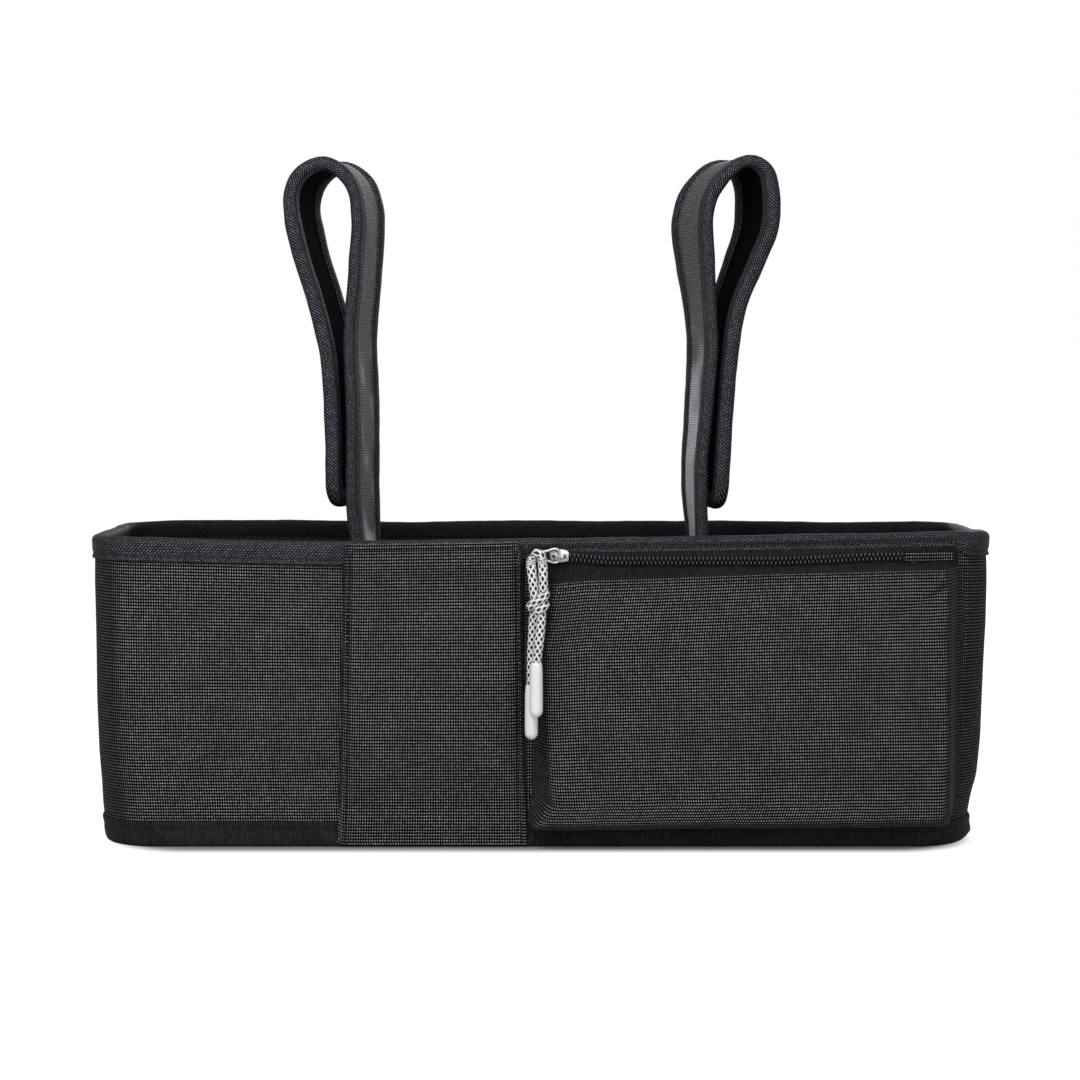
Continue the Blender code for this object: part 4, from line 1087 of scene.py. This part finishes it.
def pouch_pressed(x, z):
    """How far creases, the hem's seam and the dent press into the pouch, in millimetres."""
    place = np.stack([x, z], axis=-1)
    way = CREASE_TO - CREASE_FROM
    share = ((place - CREASE_FROM) @ way) / (way @ way)
    off = np.linalg.norm(place - CREASE_FROM - np.clip(share, 0, 1)[..., None] * way, axis=-1)
    crease = 1.3 * near(off, 0, 2.0) * (1 - 0.7 * np.clip(share, 0, 1)) - 0.5 * near(off, 4.5, 2.5)
    dent = 2.2 * np.exp(-(((x - DENT[0]) / 5.0) ** 2 + ((z - DENT[1]) / 6.5) ** 2))
    hem = table(x, HEM)
    groove = 0.55 * near(hem - z, 2.9, 0.7) + 0.9 * (1 - ease(hem - z, 0.0, 1.2))
    return crease + dent + groove


def pouch():
    even = np.linspace(0, 1, 116)
    front_share = mix(even, (1 - np.cos(math.pi * even)) / 2, 0.4)
    side = np.linspace(0, 1, 15)[:-1]
    rows = both_ends(92)
    z_mid = mix(13.0, 124.0, rows)
    left = table(z_mid, EDGE_LEFT)
    seam_left, seam_right, flange = (place + 0 * left for place in (SEAM_LEFT, SEAM_RIGHT, FLANGE_END))
    edge_right = table(z_mid, EDGE_RIGHT)
    seam_left = np.minimum(seam_left + 1.8 * ease(z_mid, 18.0, 40.0), left - 0.6)
    spans = ((seam_left, left, 0.9, POUCH_STAND, side),
             (left, edge_right, POUCH_STAND, POUCH_STAND, front_share[:-1]),
             (edge_right, seam_right, POUCH_STAND, 1.0, side),
             (seam_right, flange, 1.0, 1.0, np.linspace(0, 1, 6)))
    x = np.vstack([mix(a[None], b[None], s[:, None]) for a, b, _, _, s in spans])
    out = np.vstack([mix(c, d, s[:, None]) + 0 * left[None] for _, _, c, d, s in spans])
    x, out = soften(x, 14), soften(out, 14)
    foot, hem = mix(12.1, 14.2, x / 190.0), table(x, HEM)
    z = mix(foot, hem, rows[None])
    full = rise(z - foot, 7.5)
    share_out = (out / POUCH_STAND) ** 2
    out = 0.9 + (out - 0.9) * full + 0.7 * np.sin(math.pi * rows)[None] * share_out
    out -= pouch_pressed(x, z) * share_out
    z = z - FOOT_SAG * ease(z - foot, 0.0, 3.0) * (1 - ease(z - foot, 8.0, 40.0)) * share_out
    point = xyz(x, -(wall_depth(x, z) + out), z) * MM
    soft = 0.5 * ripples(point, 0.07, 71) * share_out * full
    soft += 0.35 * ripples(point, 0.02, 72) * near(z, 22.0, 12.0) * share_out
    front = point + normals_of(point) * (soft * MM * (1 - ease(z, 115.0, 122.0)))[..., None]
    normal = normals_of(front)
    pouch = sewn("pouch_cloth", front, POUCH_THICKNESS, ["dotted_fabric", "lining"], normal)
    for label, column in (("near", -5), ("far", -2)):
        stitch_row(f"pouch_seam_stitches_{label}", front[column, 3:-2], normal[column, 3:-2])
    row = int(np.argmin(np.abs(hem[60] - z[60] - 2.9)))
    stitch_row("pouch_hem_stitches", front[14:130, row], normal[14:130, row], thickness=0.4 * MM)
    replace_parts(pouch, "pouch_front")
    return front


pouch_grid = pouch()

# %% [markdown]
# ## The zip
# The zip has two tapes, two rows of nylon teeth and a fabric patch over its end. In the photograph it
# sags a little between its ends. The tapes run from under the rim's binding, behind the teeth and out to
# the pouch's hem.

# %% Zip tapes
ZIP_LEVEL, ZIP_DEPTH, ZIP_TAPE_THICKNESS = 130.8, 60.7, 0.6 * MM
SAG = ((-8, 0.2), (3, 0.0), (14, 0.0), (31, -1.5), (106, -1.6), (125, -0.9), (145, 0.2), (163, 0.4),
       (190, 0.4))


def cubic(a, b, c, d, t):
    """A Bezier curve's place at t."""
    return a * (1 - t) ** 3 + 3 * b * t * (1 - t) ** 2 + 3 * c * t ** 2 * (1 - t) + d * t ** 3


def zip_level(x):
    return ZIP_LEVEL + table(x, SAG)


def zip_depth(x):
    seated = wall_depth(x, ZIP_LEVEL) + 1.3
    return mix(seated, ZIP_DEPTH, ease(x, -4.5, 1.5) * (1 - ease(x, 170.0, 186.0)))


def zip_tapes():
    x = mix(-4.6, 186.6, both_ends(110))[:, None]
    up = np.linspace(0, 1, 9)[None]
    low = zip_level(x) + 0.15
    z = mix(low, 135.2 + table(x, RIM_WAVE), up)
    y = mix(zip_depth(x) - 0.5, wall_depth(x, 134.0) + 0.35, ease(up, 0.35, 0.9))
    upper = sewn("zip_tape_above", xyz(x, -y, z) * MM, ZIP_TAPE_THICKNESS, ["zip_tape"])
    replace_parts(upper, "zip_tape_upper")
    hem_row = pouch_grid[:, -1] / MM
    front_y, hem_z = (np.interp(x, hem_row[:, 0], values) for values in (-hem_row[:, 1], hem_row[:, 2]))
    share = np.linspace(0, 1, 18)[None]
    start_y, start_z = zip_depth(x) - 0.5, zip_level(x) - 0.15
    end_y, end_z = front_y - 0.5, hem_z + 0.1
    bend_y, bend_z = mix(end_y, start_y, 0.55), end_z + 0.5
    y = cubic(start_y, start_y, bend_y, end_y, share)
    z = cubic(start_z, mix(start_z, end_z, 0.8), bend_z, end_z, share)
    lower = (xyz(x, -y, z) * MM)[:, ::-1]
    lower[..., 2] += 0.25 * MM * ripples(lower, 0.03, 81) * np.sin(math.pi * share[:, ::-1])
    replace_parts(sewn("zip_tape_below", lower, ZIP_TAPE_THICKNESS, ["zip_tape"]), "zip_tape_lower")


zip_tapes()

# %% [markdown]
# A coil zip shows a row of short rounded bars. Each bar is a soft block, a ball pushed towards a box, and
# the two rows stand half a step apart so that they mesh.

# %% Zip teeth
TOOTH_STEP, TOOTH_SIZE, TOOTH_OFFSET = 1.84, (1.15, 2.5, 2.1), 0.95
FIRST_TOOTH, LAST_TOOTH = 2.4, 163.4


def soft_block(columns=8, rows=6, power=0.55):
    """Points and faces of a unit ball pushed towards a box."""
    push = lambda value: np.sign(value) * np.abs(value) ** power
    points = [(0.0, 0.0, -0.5)]
    for lat in np.linspace(-math.pi / 2, math.pi / 2, rows + 1)[1:-1]:
        for turn in np.linspace(0, 2 * math.pi, columns, endpoint=False):
            points.append((0.5 * push(math.cos(lat)) * push(math.cos(turn)),
                           0.5 * push(math.cos(lat)) * push(math.sin(turn)), 0.5 * push(math.sin(lat))))
    points.append((0.0, 0.0, 0.5))
    ring = lambda r, j: 1 + r * columns + j % columns
    faces = [(0, ring(0, j + 1), ring(0, j)) for j in range(columns)]
    for r in range(rows - 2):
        faces += [(ring(r, j), ring(r, j + 1), ring(r + 1, j + 1), ring(r + 1, j)) for j in range(columns)]
    faces += [(len(points) - 1, ring(rows - 2, j), ring(rows - 2, j + 1)) for j in range(columns)]
    return np.array(points), faces


def zip_teeth_row(label, direction):
    points, faces = soft_block()
    starts = np.arange(FIRST_TOOTH + (0.0 if direction > 0 else TOOTH_STEP / 2), LAST_TOOTH, TOOTH_STEP)
    width, tall, deep = TOOTH_SIZE
    block = points * (width, deep, tall)
    places = [(x, -zip_depth(x), zip_level(x) + direction * TOOTH_OFFSET) for x in starts]
    all_points = np.concatenate([block + place for place in places]) * MM
    all_faces = [tuple(i + k * len(points) for i in face) for k in range(len(starts)) for face in faces]
    name = f"zip_coil_{label}"
    coil = add_piece(name, new_mesh(name, all_points.tolist(), all_faces), ["zip_teeth"], "organizer")
    print(f"{label} row: {len(starts)} teeth")
    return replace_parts(coil, f"zip_teeth_{label}")


zip_teeth_row("upper", 1)
zip_teeth_row("lower", -1)

# %% [markdown]
# The patch at the right end is a folded scrap of the dotted cloth. It lies over the last teeth and the
# stop, and its end tucks in at the pouch's seam.

# %% Zip's end patch
PATCH_START, PATCH_END, PATCH_HALF = 161.6, 183.8, 2.1


def zip_end_patch():
    x = np.linspace(PATCH_START, PATCH_END, 40)[:, None]
    up = np.linspace(-1, 1, 12)[None]
    z = zip_level(x) + 0.2 + PATCH_HALF * up * (1 - 0.1 * ease(x, 176.0, 184.0))
    stand = mix(ZIP_DEPTH + 1.75, wall_depth(x, 130.0) + 2.2, ease(x, 166.0, 182.0))
    out = stand + 0.35 * (1 - up ** 4) - 0.5 * near(x, 163.2, 0.6)
    front = xyz(x, -out, z) * MM
    normal = normals_of(front)
    patch = sewn("zip_patch", front, TAPE_THICKNESS, ["dotted_fabric"], normal)
    stitch_row("zip_patch_stitches", front[3, 1:-1], normal[3, 1:-1], pitch=2.0 * MM, length=1.4 * MM)
    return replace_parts(patch, "zip_end_patch")


zip_end_patch()

# %% [markdown]
# ## Slider and ring
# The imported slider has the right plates, post and bail, so a copy of its mesh gets soft polished edges
# with a Bevel. The copy is a little smaller and 1 mm higher, as the photograph shows it. The ring is bent
# from round wire, drawn again as a smooth closed curve through the same corners, and it hangs a little
# higher too.

# %% Slider, ring and stops
SLIDER_WIDE, SLIDER_TALL, SLIDER_RISE, RING_RISE, RING_WIRE = 0.92, 0.88, 1.0 * MM, 1.2 * MM, 0.65 * MM


def slider_body():
    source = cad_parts["slider"]
    mesh = source.data.copy()
    mesh.name = "zip_slider_body"
    mesh.materials.clear()
    low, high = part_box("slider")
    middle = (low + high) / 2
    to_world, to_mesh = source.matrix_world.copy(), source.matrix_world.inverted()
    for vertex in mesh.vertices:
        offset = to_world @ vertex.co - middle
        place = middle + Vector((offset.x * SLIDER_WIDE, offset.y, offset.z * SLIDER_TALL + SLIDER_RISE))
        vertex.co = to_mesh @ place
    piece = add_piece(mesh.name, mesh, ["slider_metal"], "zip_slider")
    close_seams(piece, 0.001 * MM)
    bevel = piece.modifiers.new("Polished edges", "BEVEL")
    bevel.width, bevel.segments, bevel.harden_normals = 0.18 * MM, 2, True
    bevel.limit_method, bevel.angle_limit = "ANGLE", math.radians(30)
    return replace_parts(piece, "slider")


def pull_ring():
    low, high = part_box("pull_ring")
    left, right, middle = low.x + RING_WIRE, high.x - RING_WIRE, (low + high) / 2
    tall, tip = (high.z - low.z) / 2 - RING_WIRE, 1.05 * MM
    points = [(left, tip), (mix(left, right, 0.5), mix(tip, tall, 0.55)), (right - 0.6 * MM, tall),
              (right, tall * 0.5)]
    points = points + [(x, -z) for x, z in reversed(points)]
    curve = bpy.data.curves.new("ring_wire", "CURVE")
    curve.dimensions, curve.bevel_depth, curve.bevel_resolution, curve.resolution_u = "3D", RING_WIRE, 5, 10
    spline = curve.splines.new("BEZIER")
    spline.bezier_points.add(len(points) - 1)
    for point, (x, z) in zip(spline.bezier_points, points):
        point.co = (x, middle.y, middle.z + z + RING_RISE)
        point.handle_left_type = point.handle_right_type = "AUTO"
    spline.use_cyclic_u = True
    curve.materials.append(FINISH["slider_metal"])
    ring = link("ring_wire", curve)
    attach(ring, "ring")
    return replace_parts(ring, "pull_ring")


slider_body()
pull_ring()
for node in ("zip_stop_left", "zip_stop_right"):
    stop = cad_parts[node]
    for material_slot in stop.material_slots:
        material_slot.material = FINISH["stop_metal"]

# %% [markdown]
# ## The straps
# Each strap rises from inside the basket, turns over in a loop and comes down to fasten on itself. It is
# drawn on a band: a line in the X-Z plane gives its course, and a turn about the vertical gives its
# twist. The face, the binding and the hook and loop patches all read their places off the same band, so
# they stay together.

# %% The band that a strap follows
STRAP_SEAT, STRAP_FOOT = 77.5, 60.0
STRAPS = {
    "left": (-1, ((-82.0, 141.0), (-82.5, 188.0), (-83.4, 229.0), (-81.0, 260.0), (-79.4, 284.0),
                  (-83.2, 300.0), (-94.6, 308.2), (-106.0, 302.5), (-109.8, 290.2), (-105.8, 269.8),
                  (-98.4, 243.9), (-92.6, 216.6), (-91.1, 181.8), (-90.7, 160.5), (-89.9, 153.0)),
             ((104.0, 0.0), (150.0, 14.5))),
    "right": (1, ((73.2, 138.0), (72.3, 170.0), (74.1, 202.0), (75.4, 228.0), (72.2, 260.0), (71.0, 284.0),
                  (76.8, 300.0), (89.0, 309.0), (98.6, 302.5), (99.8, 281.0), (94.4, 264.0), (86.9, 244.0),
                  (84.0, 226.0), (82.6, 209.0), (81.3, 185.0), (80.6, 160.0), (80.0, 152.0)),
              ((104.0, 0.0), (165.0, -9.0), (230.0, -13.0), (280.0, -22.0))),
}
CORNER_CENTRE, STRAP_CORNER, BINDING_RADIUS, BINDING_EASE = 8.5 * MM, 8.0 * MM, 2.75 * MM, 0.3 * MM


class Band:
    """along counts from the foot, across from the centre line, lift from the middle of the thickness."""

    def __init__(self, side, line, turn):
        seat = [(side * STRAP_SEAT, height) for height in (STRAP_FOOT, 81.0, 102.0)]
        self.fine, self.turn = smooth_line(np.array([*seat, *line]) * MM, 400), turn
        self.length = line_length(self.fine)

    def centre(self, along):
        place = along / self.length * (len(self.fine) - 1)
        index = np.clip(place.astype(int), 0, len(self.fine) - 2)
        start, end = self.fine[index], self.fine[index + 1]
        return start + (end - start) * (place - index)[..., None]

    def turned(self, z):
        height, turn = self.turn[0]
        total = turn + 0 * z
        for next_height, next_turn in self.turn[1:]:
            total = total + (next_turn - total) * ease(z, height * MM, next_height * MM)
            height = next_height
        return np.radians(total)

    def flat(self, along, across):
        centre = self.centre(along)
        turn = self.turned(centre[..., 1])
        return xyz(centre[..., 0] + across * np.sin(turn), across * np.cos(turn), centre[..., 1])

    def point(self, along, across, lift):
        along, across, lift = np.broadcast_arrays(along, across, lift)
        step = 2.0 * MM
        ahead = self.flat(along + step, across) - self.flat(along - step, across)
        wider = self.flat(along, across + step) - self.flat(along, across - step)
        normal = np.cross(wider, ahead)
        normal /= np.linalg.norm(normal, axis=-1, keepdims=True)
        wave = 0.3 * np.sin(along / (13 * MM)) * np.sin(along / (31 * MM) + 1.0) * MM
        return self.flat(along, across) + normal * (lift + wave)[..., None]

    def along_at(self, z, last=False):
        passed = np.nonzero((self.fine[:-1, 1] - z * MM) * (self.fine[1:, 1] - z * MM) <= 0)[0]
        return self.length * (passed[-1] if last else passed[0]) / (len(self.fine) - 1)


# %% [markdown]
# A strap's core is soft foam between a satin face and a black inner face. It is a little thicker along
# its middle. The free end is rounded, so the last columns of the grid follow a quarter turn at each
# corner.

# %% Strap core
CORE_HALF, CORE_CROWN = 1.35, 0.55   # half its thickness at the edges, and what its middle adds


def edge_stations(band, step=2.2 * MM, corner_steps=8):
    count = int((band.length - STRAP_CORNER) / step)
    along = np.linspace(0.0, band.length - STRAP_CORNER, count)
    heading = np.linspace(0.0, math.pi / 2, corner_steps + 1)[1:]
    return np.concatenate([along, along[-1] + 0 * heading]), np.concatenate([0 * along, heading])


def strap_core(label, band, outer):
    along, heading = edge_stations(band)
    reach = STRAP_CORNER
    along, half = along + reach * np.sin(heading), CORNER_CENTRE + reach * np.cos(heading)
    share = -outer * np.linspace(-1, 1, 19)[None]
    crown = (CORE_HALF + CORE_CROWN * (1 - share ** 4)) * MM
    faces = [band.point(along[:, None], half[:, None] * share, side * outer * crown) for side in (1, -1)]
    soft = 0.22 * MM * ripples(faces[0], 0.02, 91) * (1 - share ** 4)
    faces[0] = faces[0] + normals_of(faces[0]) * soft[..., None]
    core = cloth(f"strap_{label}_core", faces[0], faces[1], ["strap_face", "hook_and_loop"])
    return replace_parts(core, f"strap_{label}")


# %% [markdown]
# The strap's binding is folded over both long edges and round the free end. Its section is a half circle
# with two legs, each pinched along the seam and lipped at its edge.

# %% Strap binding
FREE_FULLER, FREE_PART = 0.5, (0.56, 0.7)   # the loose part's roll is fuller, by shares of the length
BINDING_LEG = (5.6, 5.55, 5.2, 4.7, 4.2, 3.6, 2.4, 1.0)   # how far in from the edge each row lies
BINDING_PRESS = (0.62, 0.80, 0.90, 0.84, 0.78, 0.92, 1.0, 1.02)   # how high it stands there, as a share


def strap_binding(label, band):
    along, heading = edge_stations(band)
    along, heading = np.concatenate([along, along[::-1]]), np.concatenate([heading, heading[::-1]])
    side = np.repeat((-1.0, 1.0), len(along) // 2)
    leg, press = np.array(BINDING_LEG) * MM, np.array(BINDING_PRESS)
    angles = np.radians([90] * len(leg) + [*np.linspace(90, -90, 13)] + [-90] * len(leg))
    legs = np.concatenate([leg, np.zeros(13), leg[::-1]])
    presses = np.concatenate([press, np.ones(13), press[::-1]])
    out = BINDING_RADIUS * np.cos(angles) - BINDING_EASE - legs
    outer = -1.0 if label == "right" else 1.0
    free = 1 + FREE_FULLER * ease(along / band.length, *FREE_PART)[:, None]
    lift = (BINDING_RADIUS * np.sin(angles) * presses)[None]
    lift = np.where(lift * outer > 0, lift * free, lift)
    reach = STRAP_CORNER + out[None]
    heading, side = heading[:, None], side[:, None]
    points = band.point(along[:, None] + reach * np.sin(heading),
                        side * (CORNER_CENTRE + reach * np.cos(heading)), lift)
    soft = 0.12 * ripples(points, 0.012, 101)
    soft += 0.4 * ripples(points, 0.02, 102) * ease(points[..., 2], 0.27, 0.30)
    normal = normals_of(points)
    points = points + normal * (soft * MM * ease(presses, 0.7, 1.0)[None])[..., None]
    binding = sewn(f"strap_{label}_edge", points, 0.6 * MM, ["twill_binding"], normal)
    for face, row in (("a", 4), ("b", points.shape[1] - 5)):
        stitch_row(f"strap_{label}_stitches_{face}", points[:, row], normal[:, row], thickness=0.45 * MM)
    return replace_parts(binding, f"strap_binding_{label}")


# %% [markdown]
# Hook and loop tape is a stiff backing with a dense pile. The pile's tips come from the material, and the
# tape's own shape gives the thickness, the soft edges and the slight waviness.

# %% Hook and loop patches
PILE_HALF_WIDTH, PILE_SEAT, PILE_BASE, PILE_RISE = 10.2 * MM, 1.75 * MM, 2.1 * MM, 1.2 * MM
PATCH_LOW, PATCH_HIGH, PATCH_FADE = 163.0, 208.0, 2.0 * MM


def strap_patch(band, start, end, face, node):
    along = np.linspace(start, end, 44)[:, None]
    share = -face * np.linspace(-1, 1, 17)[None]
    ends = np.minimum(ease(along - start, 0, PATCH_FADE), ease(end - along, 0, PATCH_FADE))
    height = PILE_BASE + PILE_RISE * (1 - share ** 8) * (0.35 + 0.65 * ends)
    front = band.point(along, share * PILE_HALF_WIDTH, face * height)
    front = front + normals_of(front) * (0.12 * MM * ripples(front, 0.004, 111))[..., None]
    back = band.point(along, share * PILE_HALF_WIDTH, face * PILE_SEAT + 0 * along)
    patch = cloth(f"{node}_pile", front, back, ["hook_and_loop"])
    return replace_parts(patch, node)


for label, (side, line, turn) in STRAPS.items():
    band = Band(side, line, turn)
    inner = -1 if side < 0 else 1
    strap_core(label, band, -inner)
    strap_binding(label, band)
    passes = ((PATCH_LOW, False), (PATCH_HIGH, False), (PATCH_HIGH, True), (PATCH_LOW, True))
    ends = [band.along_at(z, last) for z, last in passes]
    strap_patch(band, *ends[:2], inner, f"loop_tape_{label}")
    strap_patch(band, *ends[2:], inner, f"hook_tape_{label}")
    print(f"strap {label}: {band.length * 1000:.0f} mm along")

# %% [markdown]
# ## Floor, world and lamps
# The product stands on white. The floor shows white to the camera through Light Path. Close to the
# basket's foot, an oblong with rounded corners, that white is dimmed as a painted shadow, and the part that
# still answers to light adds the real shadow, so that a thin contact shadow stays. The main lamp hangs close
# above the front, so the cloth darkens towards its foot and under the pouch. The basket's ends turn dark,
# because little light comes from the sides, and a lamp behind only helps views from there. White things
# come out just below full white.

# %% Floor
def camera_share(n):
    """1 for rays that see the white set: the camera's, and those through a mirror or glass."""
    path = n.new("LightPath").outputs
    seen = n.math("MAXIMUM", path["Is Camera Ray"], path["Is Glossy Ray"])
    return n.math("MAXIMUM", seen, path["Is Transmission Ray"])


FLOOR_REACH = 8.0
# The fade of the floor's white round the oblong is a painted shadow, on top of the real one.
SHADOW_REACH, SHADOW_START, SHADOW_END = (0.158, 0.030), 0.027, 0.043   # the oblong and the fade round it


def floor():
    material = bpy.data.materials.new("white_floor")
    material.use_nodes = True
    n = Nodes(material.node_tree)
    shader = material.node_tree.nodes["Principled BSDF"]
    n.put(shader.inputs["Base Color"], n.slope(camera_share(n), 0.0, 1.0, 0.62, 0.25))
    shader.inputs["Roughness"].default_value = 0.9
    shader.inputs["Specular IOR Level"].default_value = 0.0
    shader.inputs["Emission Color"].default_value = (1.0, 1.0, 1.0, 1.0)
    x, y, _ = n.split(n.new("TexCoord").outputs["Object"])
    beyond = [n.math("MAXIMUM", n.math("SUBTRACT", n.math("ABSOLUTE", way), reach), 0.0)
              for way, reach in zip((x, y), SHADOW_REACH)]
    squares = n.math("ADD", n.math("POWER", beyond[0], 2.0), n.math("POWER", beyond[1], 2.0))
    # Painted shadow: the floor's white glow drops near the basket's foot, lit or not.
    white_glow_with_painted_shadow = n.slope(n.math("SQRT", squares), SHADOW_START, SHADOW_END, 0.05, 1.0)
    n.put(shader.inputs["Emission Strength"], n.times(camera_share(n), white_glow_with_painted_shadow))
    corners = [(x * FLOOR_REACH, y * FLOOR_REACH, 0) for x, y in ((-1, -1), (1, -1), (1, 1), (-1, 1))]
    mesh = new_mesh("floor", corners, [(0, 1, 2, 3)])
    mesh.materials.append(material)
    link("floor", mesh)


def white_world(strength):
    world = bpy.data.worlds.new("studio")
    bpy.context.scene.world = world
    world.use_nodes = True
    n = Nodes(world.node_tree)
    background = world.node_tree.nodes["Background"]
    background.inputs["Color"].default_value = (1.0, 1.0, 1.0, 1.0)
    n.put(background.inputs["Strength"], n.fit(camera_share(n), 1.0 - strength, strength))


def softbox(name, place, target, size, watts):
    lamp = link(name, bpy.data.lights.new(name, "AREA"))
    lamp.data.shape, lamp.data.size, lamp.data.energy = "SQUARE", size, watts
    lamp.location = place
    lamp.rotation_euler = (Vector(target) - Vector(place)).to_track_quat("-Z", "Y").to_euler()


floor()
white_world(0.10)
softbox("key", (-0.25, -0.62, 0.72), (0.0, -0.05, 0.1), 0.5, 4.8)
softbox("fill", (0.5, -1.6, 0.6), (0.0, 0.0, 0.1), 0.9, 8.2)
softbox("top", (0.1, 0.1, 1.5), (0.0, 0.0, 0.1), 0.8, 2.6)
softbox("back", (0.4, 1.8, 0.7), (0.0, 0.0, 0.1), 0.9, 9.0)
